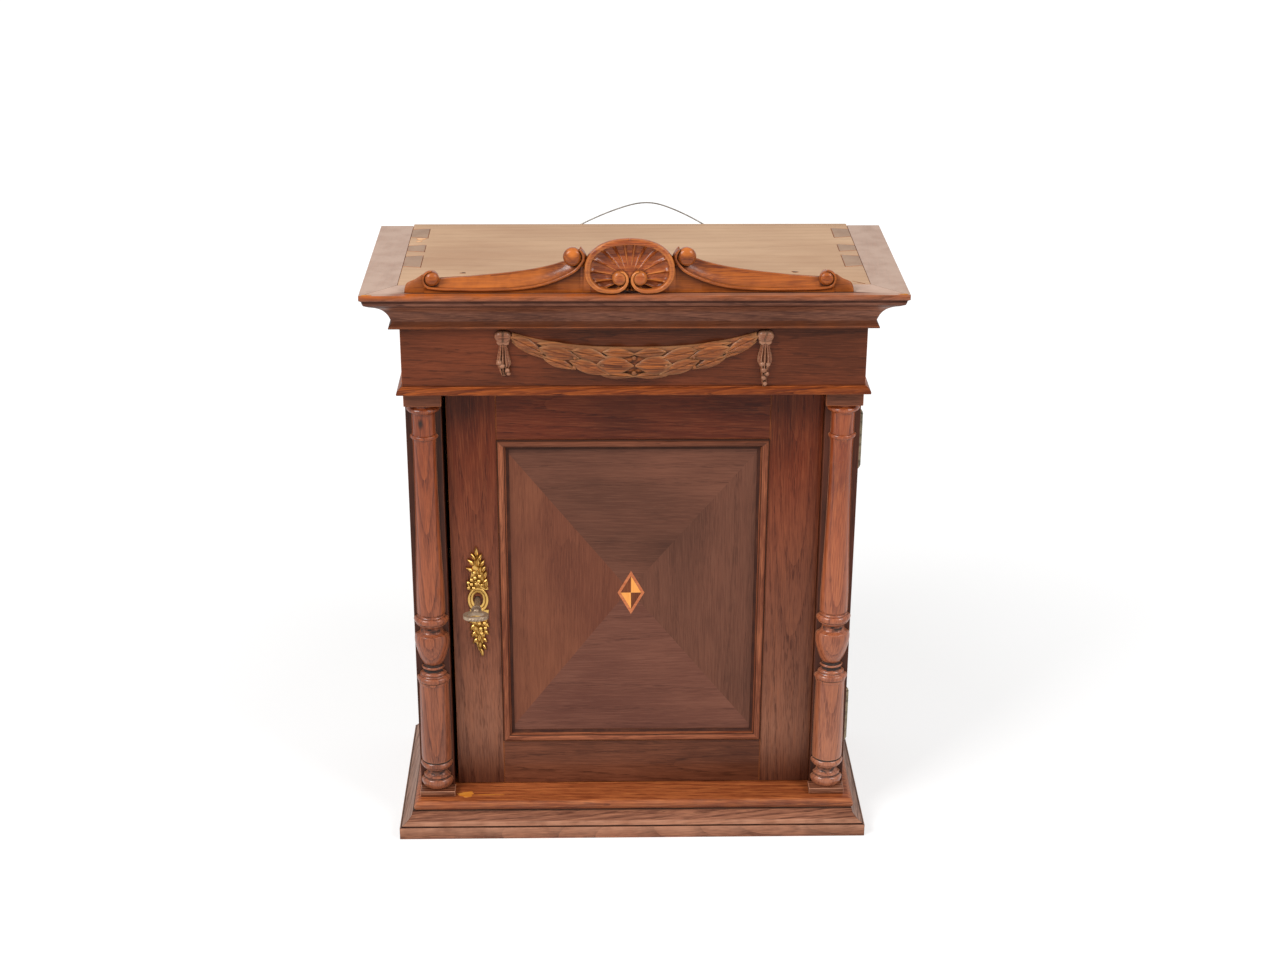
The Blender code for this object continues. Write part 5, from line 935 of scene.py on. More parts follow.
class CABINET_OT_door(bpy.types.Operator):
    """Door frame, panel, inlay and panel mouldings"""
    bl_idname = "cabinet.door"
    bl_label = "Make Door"

    def execute(self, context):
        for node, kind, grain in (("stile_left", "door_oak", "z"), ("stile_right", "door_oak", "z"),
                                  ("rail_top", "door_oak", "x"), ("rail_bottom", "rail_oak", "x")):
            eased_copy(node, finish(kind), "door", "oak", 0.7, grain=grain)
        self.make_veneer()
        self.make_inlay()
        self.make_panel_mouldings()
        return {"FINISHED"}

    def make_veneer(self):
        """The panel's board, and four quarters of veneer that meet a little left of its middle."""
        low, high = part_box("door_panel")
        veneer = 0.6 * MM
        bm = bmesh.new()
        bmesh.ops.create_cube(bm, size=1)
        bmesh.ops.scale(bm, vec=high - low - Vector((0, veneer, 0)), verts=bm.verts)
        bmesh.ops.translate(bm, vec=(low + high + Vector((0, veneer, 0))) / 2, verts=bm.verts)
        bmesh.ops.bevel(bm, geom=bm.edges[:], offset=0.3 * MM, segments=2, profile=0.5, affect="EDGES")
        finished("panel_board", to_mesh(bm, "panel_board"), finish("bare_pine"), "door", ["door_panel"],
                 "veneer")
        corners = [(low.x, low.z), (high.x, low.z), (high.x, high.z), (low.x, high.z)]
        middle = (-3.6 * MM, 257 * MM)  # where the quarters meet
        for i, (side, grain) in enumerate((("bottom", "x"), ("right", "z"), ("top", "x"), ("left", "z"))):
            ends = [corners[i], corners[(i + 1) % 4], middle]
            sections = [[(x, y, z) for x, z in ends] for y in (low.y, low.y + veneer)]
            name = f"veneer_{side}"
            kind = {"left": "warm_veneer", "bottom": "veneer"}.get(side, "dusky_veneer")
            finished(name, lofted(name, sections), finish(kind), "door", slot="veneer", grain=grain)

    def make_inlay(self):
        """A lozenge of pale and dark quarters, each with a red border outside it."""
        low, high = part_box("inlay_lozenge")
        centre = ((low.x + high.x) / 2 / MM - 1.6, (low.z + high.z) / 2 / MM + 2.2)
        width, height = (high.x - low.x) / 2 / MM, (high.z - low.z) / 2 / MM
        inner, seam = 0.775, 0.985  # share of the size inside the border, and what the saw leaves of it
        tips = [(1, 0), (0, 1), (-1, 0), (0, -1)]
        for i, kind in enumerate(("pale_inlay", "dark_inlay") * 2):
            tip, following = tips[i], tips[(i + 1) % 4]
            quarter = [(x * width * inner * seam, z * height * inner * seam)
                       for x, z in ((0, 0), tip, following)]
            border = [(x * width, z * height) for x, z in (
                tip, following, [v * inner for v in following], [v * inner for v in tip])]
            for part, tone, ends, replaced, grain in (("quarter", kind, quarter, ["inlay_lozenge"], "z"),
                                                      ("border", "red_inlay", border, (), "x")):
                sections = [[facing(centre[0] + x, centre[1] + z, low.y, out) for x, z in ends]
                            for out in (-0.4, 0.06)]
                name = f"inlay_{part}_{i + 1}"
                finished(name, lofted(name, sections), finish(tone), "door", replaced, grain=grain)

    def make_panel_mouldings(self):
        """Four lengths round the panel, mitred at its corners."""
        left, _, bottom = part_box("panel_moulding_left")[0]
        right, _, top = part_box("panel_moulding_right")[1]
        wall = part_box("door_panel")[0].y - 0.25 * MM
        profile = outline_of(PANEL_MOULDING_RUNS, ease=0.15)
        corners = [(left, bottom), (right, bottom), (right, top), (left, top)]
        inwards = [(1, 1), (-1, 1), (-1, -1), (1, -1)]

        def sunk(point):
            """Dirt and painted shade at the foot and in the quirk by the frame."""
            quirk = abs(point.y - wall + 4.8 * MM) < 0.5 * MM
            return 0.9 if point.y > wall - 1.6 * MM or quirk else 0

        for i, (side, grain) in enumerate((("bottom", "x"), ("right", "z"), ("top", "x"), ("left", "z"))):
            j = (i + 1) % 4
            sections = []
            for share in (step / 24 for step in range(25)):
                x, z = (a * (1 - share) + b * share for a, b in zip(corners[i], corners[j]))
                right_by, up_by = (a * (1 - share) + b * share for a, b in zip(inwards[i], inwards[j]))
                sections.append([(x + across * right_by, wall - up, z + across * up_by)
                                 for across, up in profile])
            name = f"panel_moulding_{side}_run"
            # Crevices are marked darker as dirt and painted shade
            mesh = lofted(name, sections, hollow=1.6, crevice=6, sunk=sunk)
            # The top length faces down and takes the darker rail finish as painted shade
            finished(name, mesh, finish("rail_oak" if side == "top" else "moulding_oak"), "door",
                     [f"panel_moulding_{side}"], "oak", grain=grain)


class CABINET_OT_crest(bpy.types.Operator):
    """Carved arms with their scrolls, and the fluted shell between them"""
    bl_idname = "cabinet.crest"
    bl_label = "Make Crest"

    def execute(self, context):
        for side, way in (("left", -1), ("right", 1)):
            self.make_arm(side, way)
        self.make_shell()
        return {"FINISHED"}

    def make_arm(self, side, way):
        """One arm: a cove that rises to the shell, its edge, its scrolls, an ear and two leaves."""
        low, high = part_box(f"crest_arm_{side}")
        back, foot = high.y, low.z
        front = back - CREST_DEPTH * MM
        bm = bmesh.new()
        self.add_cove(bm, way, front, back, foot)
        self.add_scrolls(bm, way, front)
        self.add_ear(bm, way, front, foot)
        self.add_leaves(bm, way, front)
        top_of_ball = Vector(((CREST_CENTRE + way * INNER_BALL[0]) * MM, front, 626 * MM))

        def rubbed(point):
            """Painted highlight: the cove is bright, more on the left arm, and the tops of the balls are lit
            and rubbed.
            """
            away = abs(point.x / MM - CREST_CENTRE)
            if 2.6 * MM < point.y - front < 9.4 * MM and away < 172:
                return (0.62 if way < 0 else 0.3) * min(max((away - 52) / 34, 0.2), 1.0)
            return min(max(1.9 - (point - top_of_ball).length / (3.8 * MM), 0.0), 1.0)

        def sunk(point):
            """The back of the crown is dark, and the leaf at the outer end is dull."""
            if abs(point.x / MM - CREST_CENTRE) > 185.8:
                return 0.5
            return 0.8 if 10.6 * MM < point.y - front < 11.6 * MM and point.z > foot + 6 * MM else 0.0

        name = f"crest_arm_{side}_carved"
        # Crevices are marked darker as dirt and painted shade
        mesh = to_mesh(bm, name, 0.5, 1.6, rounds=1, calm=0.08, gain=3.0, crevice=3.4, rubbed=rubbed,
                       sunk=sunk)
        finished(name, mesh, finish("carved_oak"), "case", [f"crest_arm_{side}"], "oak_carved", 42)

    def add_cove(self, bm, way, front, back, foot):
        """The hollow face between the fillet and the top edge, over a flat field."""
        top, fillet = flowing(CREST_TOP, 8), flowing(CREST_FILLET, 8)

        def level(curve, offset):
            """Height of a curve at a distance from the middle."""
            for a, b in zip(curve, curve[1:]):
                if b.x <= offset <= a.x:
                    return b.y + (a.y - b.y) * (offset - b.x) / max(a.x - b.x, 1e-6)
            return curve[-1].y if offset < curve[-1].x else curve[0].y

        lies_back, outer, inner, steps = 2.2, 186, 41.5, 90
        field = front + lies_back * MM
        sections = []
        for i in range(steps + 1):
            offset = outer - (outer - inner) * i / steps
            x = (CREST_CENTRE + way * offset) * MM
            dip = CREST_DIP[way] * min(max((190 - offset) / 130, 0.25), 1.0)
            crown = (level(top, offset) - dip) * MM
            rim = min(level(fillet, offset) * MM, crown - 3 * MM)
            rise = crown - rim
            section = [(x, back, foot), (x, field, foot), (x, field, rim - 1.2 * MM)]
            for k in range(13):
                v = k / 12
                sweep = 8.6 * min(rise / (12 * MM), 1) * v ** 1.15
                bowl = 3.2 * math.sin(math.pi * v ** 0.85) * min(rise / (17 * MM), 1)
                section.append((x, front + (bowl + sweep + 1.2) * MM, rim + rise * v))
            sections.append(section + [(x, front + 11.2 * MM, crown + 0.1 * MM), (x, back, crown - 3.2 * MM)])
        # Behind the shell's rim only the flat field runs on
        for offset, level_up in ((41.4, 610.0), (38.4, 603.0), (35.4, 598.0)):
            x = (CREST_CENTRE + way * offset) * MM
            sections.append([(x, back, foot), (x, field, foot)] + [
                (x, front + (lies_back + 0.1 * k) * MM, (level_up + 0.05 * k) * MM) for k in range(15)]
                + [(x, back, (level_up + 0.8) * MM)])
        loft(bm, sections)

    def add_scrolls(self, bm, way, front):
        """The raised edge, which curls round a ball at each end."""
        hook = spiral(INNER_BALL[:2], 196, 0.17, (10.2, 9.6), -1, 10)
        tail = spiral(OUTER_BALL[:2], -75, 0.46, (8.4, 7.2), 1, 12)
        run = list(reversed(tail)) + CREST_FILLET[1:-1] + hook
        wall = front + 3.4 * MM
        band(bm, flowing([(CREST_CENTRE + way * x, z) for x, z in run], 4),
             (0.7, 1.0, 1.3, 1.35, 1.35, 1.4, 1.5, 1.5, 1.4, 1.0), wall,
             (2.6, 3.2, 3.4, 3.4, 3.4, 3.4, 3.5, 3.9, 4.2, 4.0))
        for across, up, radius, out in (INNER_BALL, OUTER_BALL):
            lathe(bm, [(radius * 0.55, -14), (radius * 0.86, -6)] + [
                (radius * width, out * height) for width, height in (
                    (1, -0.1), (0.985, 0.16), (0.95, 0.34), (0.87, 0.56), (0.74, 0.74), (0.56, 0.88),
                    (0.3, 0.97), (0, 1))],
                  ((CREST_CENTRE + way * across) * MM, wall, up * MM), 40)

    def add_ear(self, bm, way, front, foot):
        """The leaf that ends the arm outside its ball."""
        ear = [(183, 603.4), (187, 603.2), (190, 601.4), (194, 598.8), (198, 597.2), (201.5, 595.0),
               (203.4, 591.0), (203.8, foot / MM + 0.2)]
        sections = []
        for x, z in flowing(ear, 4):
            place = (CREST_CENTRE + way * x) * MM
            rise = max(z * MM - foot, 0.3 * MM)
            sections.append([(place, front + out * MM, foot + rise * share) for out, share in (
                (11, 0), (3.0, 0), (2.6, 0.35), (3.6, 0.75), (5.6, 1), (11, 0.84))])
        loft(bm, sections)

    def add_leaves(self, bm, way, front):
        """Two leaves between the inner ball and the shell."""
        for across, up, angle, length in ((40.4, 607, 80, 22), (37.6, 606, 102, 20)):
            place, turn, _ = leaf_place((CREST_CENTRE + way * across, up), angle if way > 0 else 180 - angle,
                                        1, 1, 1, front, -6, 0)
            leaf = leaf_mesh()
            leaf.transform(Matrix.Translation(place) @ turn.to_4x4() @ Matrix.Diagonal(
                (length * MM, 8.4 * MM, 4.2 * MM, 1)))
            merge_into(bm, leaf)

    def make_shell(self):
        """The fluted shell with its rim and eyes, and the flat field beside its foot."""
        low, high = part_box("crest_shell")
        front, back = low.y - 3 * MM, high.y
        foot, head = SHELL_FOOT, SHELL_HEAD
        half = flowing([(0, head), (11, head - 0.9), (21, head - 3.5), (28.6, head - 7.6),
                        (34.6, head - 13.9), (37.6, head - 21.5), (38.0, head - 29.6), (36.4, head - 35.8),
                        (32.2, head - 41.4), (26.2, head - 45.2), (18, foot + 0.4), (10.6, foot + 1.0),
                        (5.2, foot + 4.2), (2.4, foot + 9.4), (2.6, foot + 14.4), (5.2, foot + 18.0),
                        (8.6, foot + 19.0)], 6)
        bm = bmesh.new()
        for way in (-1, 1):
            band(bm, [Vector((CREST_CENTRE + way * p.x, p.y)) for p in half],
                 (2.9, 2.8, 2.7, 2.6, 2.4, 2.3, 2.0, 1.6, 1.3, 0.8), front + 4.6 * MM,
                 (4.6, 4.6, 4.5, 4.4, 4.2, 4.0, 4.0, 4.2, 4.4, 3.6))
            lathe(bm, [(7.0, -9), (7.0, 2.0), (6.7, 3.4), (5.8, 4.7), (4.3, 5.7), (2.3, 6.2), (0, 6.4)],
                  ((CREST_CENTRE + way * 8.9) * MM, front + 6.4 * MM, (foot + 12.4) * MM), 36)
        before_curl = 66  # points of the rim that come before it curls round an eye
        self.add_flutes(bm, half[:before_curl], front, back, low.z)
        # Ribs are marked brighter as wear and painted highlight, the flutes' hollows darker as dirt and
        # painted shade
        mesh = to_mesh(bm, "crest_shell_carved", 1.0, 1.6, rounds=0, calm=0.12, gain=4.0, crevice=4)
        finished("crest_shell_carved", mesh, finish("shell_oak"), "case", ["crest_shell"], "oak_carved", 50)
        for side, way in (("left", -1), ("right", 1)):
            face, sections = front + 8.3 * MM, []
            for offset, top in ((35.2, 599.0), (32.0, 594.6), (26.0, 591.6), (18.0, 590.0), (11.0, 590.0)):
                sections.append([((CREST_CENTRE + way * offset) * MM, y, z) for y, z in (
                    (back, low.z), (face, low.z), (face, top * MM), (back, top * MM))])
            name = f"crest_field_{side}"
            finished(name, lofted(name, sections), finish("carved_oak"), "case", slot="oak_carved")

    def add_flutes(self, bm, half, front, back, foot):
        """The hollow inside the rim: twenty scoops that run out from a focus between the eyes."""
        edge = [Vector((CREST_CENTRE + way * p.x, p.y)) for way, points in (
            (1, half), (-1, list(reversed(half)))) for p in points]
        focus = Vector((CREST_CENTRE, 602.6))
        rays = [(angle, Vector((math.cos(angle), math.sin(angle))))
                for angle in (math.tau * i / 216 for i in range(216))]
        reach = [self.distance_out(focus, ray, edge) for _, ray in rays]
        sections = []
        for share in (0.02, 0.1, 0.2, 0.3, 0.38, 0.46, 0.54, 0.62, 0.7, 0.76, 0.81, 0.85, 0.885, 0.91, 0.935,
                      0.96, 1.0):
            ring = []
            for (angle, ray), distance in zip(rays, reach):
                phase = ((math.degrees(angle) - 90) / 18 + 0.5) % 1 - 0.5
                ridge = abs(2 * phase) ** 4
                scoop = min(max((share - 0.26) / 0.4, 0), 1) * 2.8 * (1 - ridge)
                if share > 0.86:
                    scoop *= max(1 - (share - 0.86) / 0.07 * (0.3 + ridge), 0)
                depth = 2.4 + 3.4 * math.sin(math.pi * 0.5 * min(share / 0.75, 1)) - 16 * max(share - 0.9, 0)
                depth += scoop - 0.6 * (1 - min(share / 0.3, 1))
                place = focus + ray * distance * share
                ring.append(facing(place.x, place.y, front, -depth))
            sections.append(ring)
        narrowed, middle = 0.86, CREST_CENTRE * MM
        loft(bm, sections + [[Vector((middle + (point.x - middle) * narrowed, back,
                                      foot + (point.z - foot) * narrowed)) for point in sections[-1]]])

    def distance_out(self, focus, ray, edge):
        """How far a ray runs from the focus to the rim."""
        least = 12.0
        for a, b in zip(edge, edge[1:] + edge[:1]):
            run, gap = b - a, a - focus
            cross = ray.x * run.y - ray.y * run.x
            if abs(cross) < 1e-9:
                continue
            along, within = (gap.x * run.y - gap.y * run.x) / cross, (gap.x * ray.y - gap.y * ray.x) / cross
            if along > 0 and -0.001 <= within <= 1.001:
                least = max(least, along)
        return least


class CABINET_OT_swag(bpy.types.Operator):
    """Garland of leaves, its two rosettes and their tassels"""
    bl_idname = "cabinet.swag"
    bl_label = "Make Swag"

    def execute(self, context):
        self.make_garland(finish("dry_carving"))
        for side in ("left", "right"):
            self.make_drop(side, finish("grey_carving"))
        return {"FINISHED"}

    def make_garland(self, material):
        """A sagging bed with leaves and berries, the same on both sides of its middle."""
        low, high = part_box("swag_garland")
        wall = high.y
        centre, half_span = (low.x + high.x) / 2 / MM, 113.2
        bm = bmesh.new()
        sections = []
        for i in range(61):
            t = i / 30 - 1
            top = 541.0 - 14.6 * (1 - abs(t) ** 2.6)
            bottom = 531.8 - 33.8 * (1 - t * t)
            x = centre + half_span * t
            height = 3.6 + 2.8 * (1 - t * t)
            section = [facing(x, bottom, wall, 0)]
            for v in (k / 8 for k in range(9)):
                rise = height * (0.35 + 0.65 * math.sin(math.pi * v) ** 0.7)
                section.append(facing(x, bottom + (top - bottom) * v, wall, rise))
            sections.append(section + [facing(x, top, wall, 0)])
        loft(bm, sections)
        places = []
        for way in (1, -1):
            for foot_x, foot_z, tip_x, tip_z, width, lift in GARLAND_LEAVES:
                rise, run = tip_z - foot_z, (tip_x - foot_x) * way
                length, angle = math.hypot(rise, run) + 4.5, math.degrees(math.atan2(rise, run))
                depth = 2.2 + 2.4 * (1 - (foot_x / 113) ** 2)
                places.append(leaf_place((centre + (foot_x - 2.0) * way, foot_z), angle, length, width * 1.3,
                                         1.7, wall, depth + lift + 0.6, 2.0))
        merge_into(bm, copied(leaf_mesh(0.5, 0.95), places, material))
        berries = [(centre + x * way, z, 1.9) for x, z in GARLAND_BERRIES for way in (1, -1)]
        berries += [(centre + x, z, 2.3) for x, z in GARLAND_MIDDLE]
        merge_into(bm, copied(berry_mesh(), [
            (facing(x, z, wall, 6.2 if abs(x - centre) < 60 else 4.6), Matrix.Identity(3), (size * MM,) * 3)
            for x, z, size in berries], material))
        # Gaps between leaves and berries are marked darker as dirt and painted shade
        mesh = to_mesh(bm, "swag_garland_carved", 0.8, rounds=1, calm=0.1, gain=2.0, crevice=3.2)
        finished("swag_garland_carved", mesh, material, "case", ["swag_garland"], "weathered_wood", 40)

    def make_drop(self, side, material):
        """A knot of round lobes, and the pleated tassel with beads that hangs from it."""
        low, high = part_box(f"swag_tassel_{side}")
        wall = high.y
        x, top, foot = (low.x + high.x) / 2 / MM, high.z / MM, low.z / MM
        knot = top - 7.8
        bm = bmesh.new()
        for way in (-1, 1):
            lathe(bm, [(5.4, 0), (5.9, 2.0), (5.6, 3.4), (4.6, 4.8), (2.8, 5.7), (0, 6.0)],
                  facing(x + way * 1.9, knot + 0.9, wall, 0), 28)
            lathe(bm, [(3.4, 0), (3.4, 2.6), (2.6, 3.8), (0, 4.4)],
                  facing(x + way * 2.6, knot - 4.4, wall, 0), 24)
        length = knot - 2 - foot
        sections = []
        for share, half in flowing(TASSEL_WIDTHS[side], 6):
            z = knot - 2 - length * share
            section = []
            for v in (k / 18 - 1 for k in range(37)):
                body = 2.6 + 2.2 * math.sin(math.pi * min(share * 1.15, 1))
                pleat = 1.0 * math.cos(v * 12.6 + share * 1.6) * min(share * 3, 1) * (1 - v * v)
                section.append(facing(x + half * v, z, wall, max(body * (1 - v ** 4) ** 0.5 + pleat, 0)))
            sections.append(section)
        loft(bm, sections)
        merge_into(bm, copied(berry_mesh(), [
            (facing(x + across, foot + up, wall, 3.4), Matrix.Identity(3), (size * MM,) * 3)
            for across, up, size in TASSEL_BEADS[side]], material))
        lean = 0.35 if side == "right" else 0.0

        def slit(point):
            """Painted shade of the slit in the knot."""
            off, up = point.x / MM - x, point.z / MM - knot - 0.9
            return 1.0 if abs(off - lean * up) < 0.9 and abs(up) < 4.6 else 0.0

        name = f"swag_tassel_{side}_carved"
        # The slit and the crevices are marked darker as painted shade, with dirt in the crevices
        mesh = to_mesh(bm, name, 0.9, 0.8, rounds=1, calm=0.1, gain=2.0, crevice=3.2, sunk=slit)
        finished(name, mesh, material, "case", [f"swag_tassel_{side}"], "weathered_wood", 40)


class CABINET_OT_escutcheon(bpy.types.Operator):
    """Cast keyhole plate: an oval ring between two sprays of leaves and berries"""
    bl_idname = "cabinet.escutcheon"
    bl_label = "Make Escutcheon"

    def execute(self, context):
        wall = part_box("escutcheon")[1].y
        x, z = -153.8, 249.3  # the middle of the keyhole's ring
        material = finish("burnished_brass")
        bm = bmesh.new()
        for across, up, half, height in ((9.0, 12.0, 1.5, 2.6), (6.4, 9.2, 1.7, 1.4)):
            turns = [math.tau * i / 64 for i in range(65)]
            band(bm, [Vector((x + across * math.cos(turn), z + up * math.sin(turn))) for turn in turns], half,
                 wall, height)
        for way, top in ((1, 49.5), (-1, -57)):
            spine = [(x + 1.0, z + way * 11), (x + 0.4, z + top * 0.6), (x + 0.4, z + top)]
            band(bm, flowing(spine, 8), (9.4, 8.2, 6.4, 4.4, 1.2), wall, (1.7, 1.7, 1.5, 1.0))
        places = [leaf_place((x + a, z + b), angle, length * 1.16, width * 1.2, 2.3, wall, 1.0, 8)
                  for a, b, angle, length, width in SPRAY_LEAVES]
        merge_into(bm, copied(leaf_mesh(0.3, 0.9), places, material))
        merge_into(bm, copied(berry_mesh(), [
            (facing(x + a, z + b, wall, 2.2), Matrix.Identity(3), (2.15 * MM,) * 3)
            for a, b in SPRAY_BERRIES], material))
        ribbon = [(x + across, z + up) for across, up in (
            (7.6, 20.5), (6.2, 17.6), (3.6, 16.6), (3.4, 13.8), (5.6, 12.8), (8.4, 11.6))]
        band(bm, flowing(ribbon, 5), (0.8, 1.1, 1.1, 0.8), wall, (2.4, 3.0, 2.6, 2.2))
        mesh = to_mesh(bm, "escutcheon_cast", hollow=0.9, crevice=3.0)
        finished("escutcheon_cast", mesh, material, "door", ["escutcheon"], "gilt_brass", 45)
        return {"FINISHED"}


class CABINET_OT_ironwork(bpy.types.Operator):
    """Hinges, lock, key and hanging wire"""
    bl_idname = "cabinet.ironwork"
    bl_label = "Make Ironwork"

    def execute(self, context):
        for level in ("upper", "lower"):
            for part, body in (("case_leaf", "case"), ("door_leaf", "door"), ("pin", "case")):
                node = f"hinge_{level}_{part}"
                ride_copy(f"{node}_rolled", node, finish("darkened_brass"), body, "patinated_brass")
        for node, body in (("key", "key"), ("lock_case", "door"), ("lock_bolt", "lock_bolt"),
                           ("strike_plate", "case")):
            ride_copy(f"{node}_filed", node, finish("worn_iron"), body, "steel")
        self.make_wire()
        for node in ("hanger_screw_left", "hanger_screw_right"):
            ride_copy(f"{node}_drawn", node, finish("drawn_steel"), "case", "steel", 60)
        return {"FINISHED"}

    def make_wire(self):
        """The wire, a smooth bow between eyes round its two screws."""
        low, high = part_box("hanging_wire")
        y, radius = (low.y + high.y) / 2, (high.y - low.y) / 2
        peak = Vector((16.4 * MM, y, high.z - radius))
        eye_radius, bow = 2.6 * MM, 5.5 * MM
        halves = []
        for side, screw in ((-1, "hanger_screw_left"), (1, "hanger_screw_right")):
            eye = sum(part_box(screw), Vector()) / 2
            turns = [math.radians(90 + side * 270 * (1 - i / 16)) for i in range(17)]
            around = [Vector((eye.x + eye_radius * math.cos(turn), y, eye.z + eye_radius * math.sin(turn)))
                      for turn in turns]
            halves.append(around + [around[-1].lerp(peak, i / 24) + Vector((0, 0, bow * math.sin(
                math.pi * i / 24))) for i in range(1, 23)])
        path = halves[0] + [peak] + list(reversed(halves[1]))
        for _ in range(8):
            path[26:-26] = [(before + 2 * here + after) / 4 for before, here, after in zip(
                path[25:-27], path[26:-26], path[27:-25])]
        bm = bmesh.new()
        tube(bm, path, radius, 12)
        finished("hanging_wire_drawn", to_mesh(bm, "hanging_wire_drawn"), finish("drawn_steel"), "case",
                 ["hanging_wire"], "steel", 60)


class CABINET_OT_marks(bpy.types.Operator):
    """Chips, nail heads and an open mitre, left by use"""
    bl_idname = "cabinet.marks"
    bl_label = "Make Marks"

    def execute(self, context):
        top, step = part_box("cornice_front")[1].z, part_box("base_board")[1].z
        nails = {"left": (-159.1, -48.2), "right": (150.8, -47.2)}
        jobs = (("chip_top_left", "fresh_oak", (-206.5, 61.2), 4.4, 3.2, 0, top),
                ("chip_top_small", "fresh_oak", (-207.4, 53.0), 3.0, 1.5, 20, top),
                ("chip_corner_left", "raw_oak", (-243.0, -114.9), 4.8, 1.5, 4, top),
                ("chip_corner_right", "raw_oak", (243.6, -114.7), 4.4, 1.7, -4, top),
                # The open mitre is a thin dark patch on the top, painted shade of its gap
                ("chip_mitre_right", "iron_stain", (206.9, -79.5), 7.0, 0.5, -37, top),
                ("chip_base", "raw_oak", (-170.6, -74.4), 8.0, 5.4, 3, step),
                ("chip_base_tail", "raw_oak", (-148.0, -75.6), 16.0, 0.6, 0, step),
                ("stain_left", "iron_stain", nails["left"], 2.8, 1.7, 10, top),
                ("stain_right", "iron_stain", nails["right"], 3.2, 1.8, -15, top))
        for name, kind, centre, length, width, turn, level in jobs:
            self.make_patch(name, finish(kind), centre, (length, width), turn, level)
        for side, (x, y) in nails.items():
            bm = bmesh.new()
            lathe(bm, [(1.2, -1), (1.25, 0.05), (1.0, 0.14), (0, 0.18)], (x * MM, y * MM, top), 20, (0, 0, 1))
            finished(f"nail_{side}", to_mesh(bm, f"nail_{side}"), finish("worn_iron"), "case", grain="top_x")
        return {"FINISHED"}

    def make_patch(self, name, material, centre, reach, turn, level):
        """A flat patch with a ragged edge, just proud of a level surface."""
        sections = []
        for share, up in ((1.0, -0.4), (1.0, 0.16), (0.86, 0.24), (0.4, 0.26)):
            ring = []
            for i in range(36):
                angle = math.tau * i / 36
                ragged = share * (1 + 0.16 * math.sin(3 * angle + centre[0])
                                  + 0.1 * math.sin(7 * angle + centre[1]))
                point = Matrix.Rotation(math.radians(turn), 2) @ Vector((
                    reach[0] * ragged * math.cos(angle), reach[1] * ragged * math.sin(angle)))
                ring.append(((centre[0] + point.x) * MM, (centre[1] + point.y) * MM, level + up * MM))
            sections.append(ring)
        finished(name, lofted(name, sections), material, "case", grain="top_x")


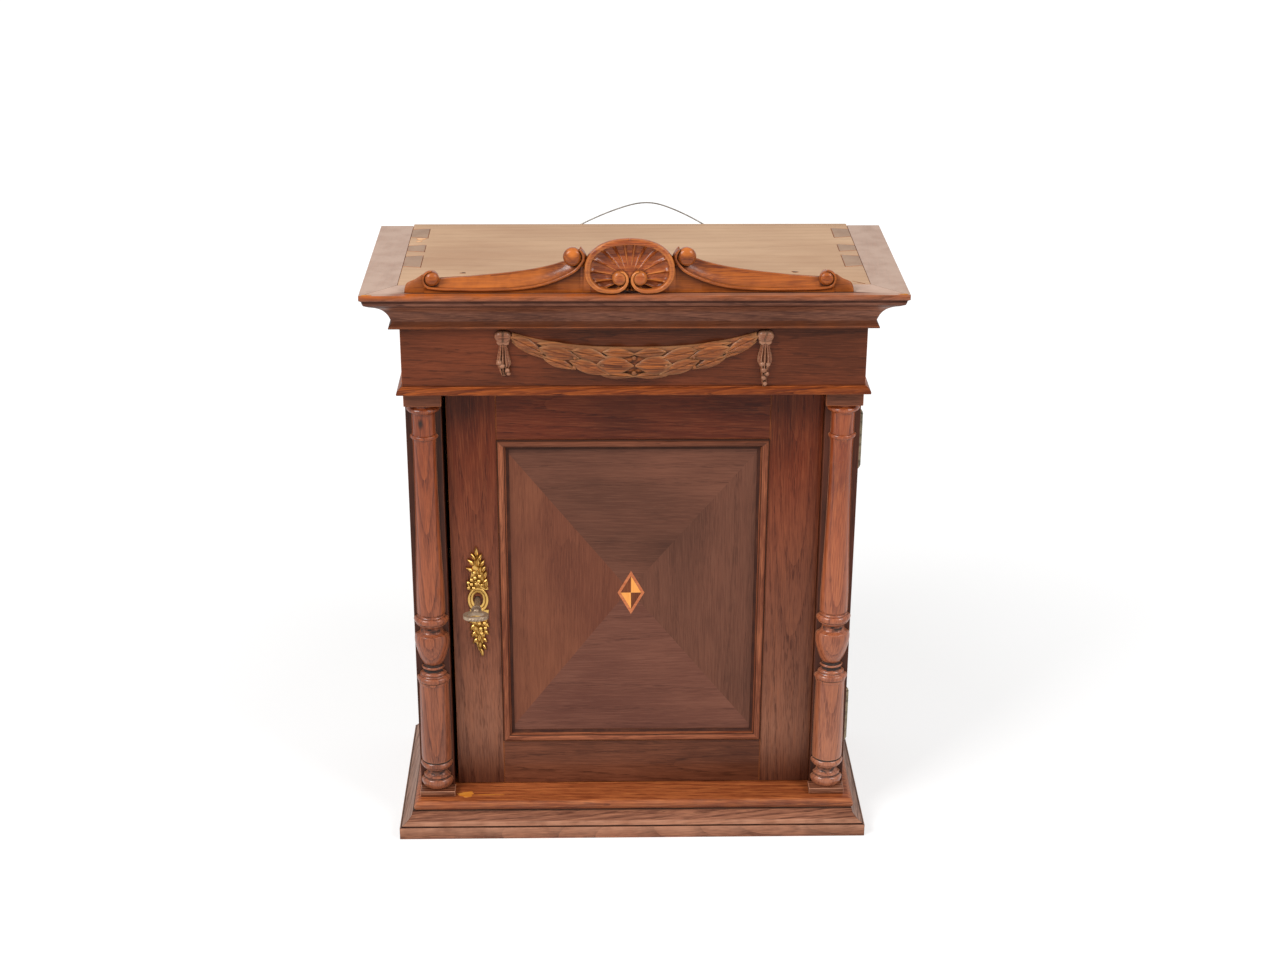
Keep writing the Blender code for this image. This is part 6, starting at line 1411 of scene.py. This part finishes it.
class CABINET_OT_stage(bpy.types.Operator):
    """Floor, studio light and camera"""
    bl_idname = "cabinet.stage"
    bl_label = "Make Stage"

    def execute(self, context):
        context.scene.view_settings.view_transform = "Standard"
        self.make_camera(context.scene)
        self.make_floor(context.scene, context.scene.cabinet_stage)
        self.make_light(context.scene, context.scene.cabinet_stage)
        return {"FINISHED"}

    def make_camera(self, scene):
        """The camera, solved from the straight edges of the case in the photograph."""
        data = bpy.data.cameras.new("photo_view")
        data.lens = scene.cabinet_stage.lens
        data.sensor_width = 36
        data.clip_start, data.clip_end = 0.05, 50
        camera = bpy.data.objects.new("photo_view", data)
        scene.collection.objects.link(camera)
        place = (-0.0377, -1.8699, 1.1650)
        yaw, pitch, roll = math.radians(1.40), math.radians(23.42), math.radians(0.31)
        forward = Vector((math.sin(yaw) * math.cos(pitch), math.cos(yaw) * math.cos(pitch), -math.sin(pitch)))
        right = Vector((math.cos(yaw), -math.sin(yaw), 0))
        up = right.cross(forward)
        camera.matrix_world = Matrix.Translation(place) @ Matrix((
            right * math.cos(roll) + up * math.sin(roll), -right * math.sin(roll) + up * math.cos(roll),
            -forward)).transposed().to_4x4()
        scene.camera = camera

    def make_floor(self, scene, settings):
        """White paper that keeps the cabinet's shadow."""
        bm = bmesh.new()
        bmesh.ops.create_grid(bm, x_segments=1, y_segments=1, size=6)
        bmesh.ops.translate(bm, vec=(0, 0, -0.2 * MM), verts=bm.verts)
        mesh = stored(bm, "paper_floor")
        floor = bpy.data.objects.new("paper_floor", mesh)
        scene.collection.objects.link(floor)
        material, tree, shader = new_material("matt_paper")
        node = partial(add, tree)
        place = node("TexCoord", out="Object")
        fibres = node("TexNoise", {"Vector": place, "Scale": 900.0}, "Fac")
        shader.inputs["Base Color"].default_value = (*settings.floor_colour, 1)
        shader.inputs["Roughness"].default_value = 0.9
        tree.links.new(node("Bump", {"Strength": 0.05, "Distance": 0.1 * MM, "Height": fibres}),
                       shader.inputs["Normal"])
        # Camera, mirror and glass rays see half of the tone as plain white near the cabinet, and nearly
        # all of it far off
        white = node("Emission", {"Color": (1, 1, 1, 1), "Strength": settings.whiteness})
        away = node("VectorMath", (place,), "Value", operation="LENGTH")
        half = node("MixShader", (node("MapRange", (away, 0.45, 1.3, 0.5, 0.97)), shader.outputs[0], white))
        seen = node("MixShader", (self.seen_rays(node), shader.outputs[0], half))
        tree.links.new(seen, tree.nodes["Material Output"].inputs["Surface"])
        mesh.materials.append(material)

    def make_light(self, scene, settings):
        """An even white room, and two soft lamps before the cabinet."""
        world = bpy.data.worlds.new("white_studio")
        scene.world = world
        world.use_nodes = True
        world.node_tree.nodes.clear()
        node = partial(add, world.node_tree)
        lit, white = (node("Background", {"Color": (1, 1, 1, 1), "Strength": strength})
                      for strength in (settings.light, 1.0))
        node("OutputWorld", {"Surface": node("MixShader", (self.seen_rays(node), lit, white))})
        size, aim = 1.2, Vector((0, 0, 0.35))
        for name, place, power in (("key_softbox", (-1.8, -1.5, 2.2), 66),
                                   ("fill_softbox", (1.9, -1.4, 2.2), 42)):
            data = bpy.data.lights.new(name, "AREA")
            data.energy, data.size = power, size
            lamp = bpy.data.objects.new(name, data)
            scene.collection.objects.link(lamp)
            lamp.location = place
            lamp.rotation_euler = (aim - Vector(place)).to_track_quat("-Z", "Y").to_euler()

    def seen_rays(self, node):
        """One for camera, mirror and glass rays."""
        rays = node("LightPath").node.outputs
        bounced = node("Math", (rays["Is Glossy Ray"], rays["Is Transmission Ray"]), operation="MAXIMUM")
        return node("Math", (rays["Is Camera Ray"], bounced), operation="MAXIMUM")


class CABINET_PT_sidebar(bpy.types.Panel):
    """Shows the cabinet's settings and a button for each operator"""
    bl_label = "Cabinet"
    bl_idname = "CABINET_PT_sidebar"
    bl_space_type = "VIEW_3D"
    bl_region_type = "UI"
    bl_category = "Cabinet"

    def draw(self, context):
        for settings in (context.scene.cabinet_finish, context.scene.cabinet_stage):
            box = self.layout.box()
            for prop in settings.bl_rna.properties:
                if prop.identifier not in ("rna_type", "name"):
                    box.prop(settings, prop.identifier)
        for operator in OPERATORS:
            self.layout.operator(operator.bl_idname)


OPERATORS = (CABINET_OT_carcase, CABINET_OT_mouldings, CABINET_OT_columns, CABINET_OT_door,
             CABINET_OT_crest, CABINET_OT_swag, CABINET_OT_escutcheon, CABINET_OT_ironwork, CABINET_OT_marks,
             CABINET_OT_stage)
SETTINGS = (CabinetFinishSettings, CabinetStageSettings)


def register():
    for item in SETTINGS + OPERATORS + (CABINET_PT_sidebar,):
        bpy.utils.register_class(item)
    bpy.types.Scene.cabinet_finish = PointerProperty(type=CabinetFinishSettings)
    bpy.types.Scene.cabinet_stage = PointerProperty(type=CabinetStageSettings)


def unregister():
    del bpy.types.Scene.cabinet_stage
    del bpy.types.Scene.cabinet_finish
    for item in reversed(SETTINGS + OPERATORS + (CABINET_PT_sidebar,)):
        bpy.utils.unregister_class(item)


def main():
    register()
    bpy.ops.cabinet.carcase()
    bpy.ops.cabinet.mouldings()
    bpy.ops.cabinet.columns()
    bpy.ops.cabinet.door()
    bpy.ops.cabinet.crest()
    bpy.ops.cabinet.swag()
    bpy.ops.cabinet.escutcheon()
    bpy.ops.cabinet.ironwork()
    bpy.ops.cabinet.marks()
    bpy.ops.cabinet.stage()


if __name__ == "__main__":
    main()
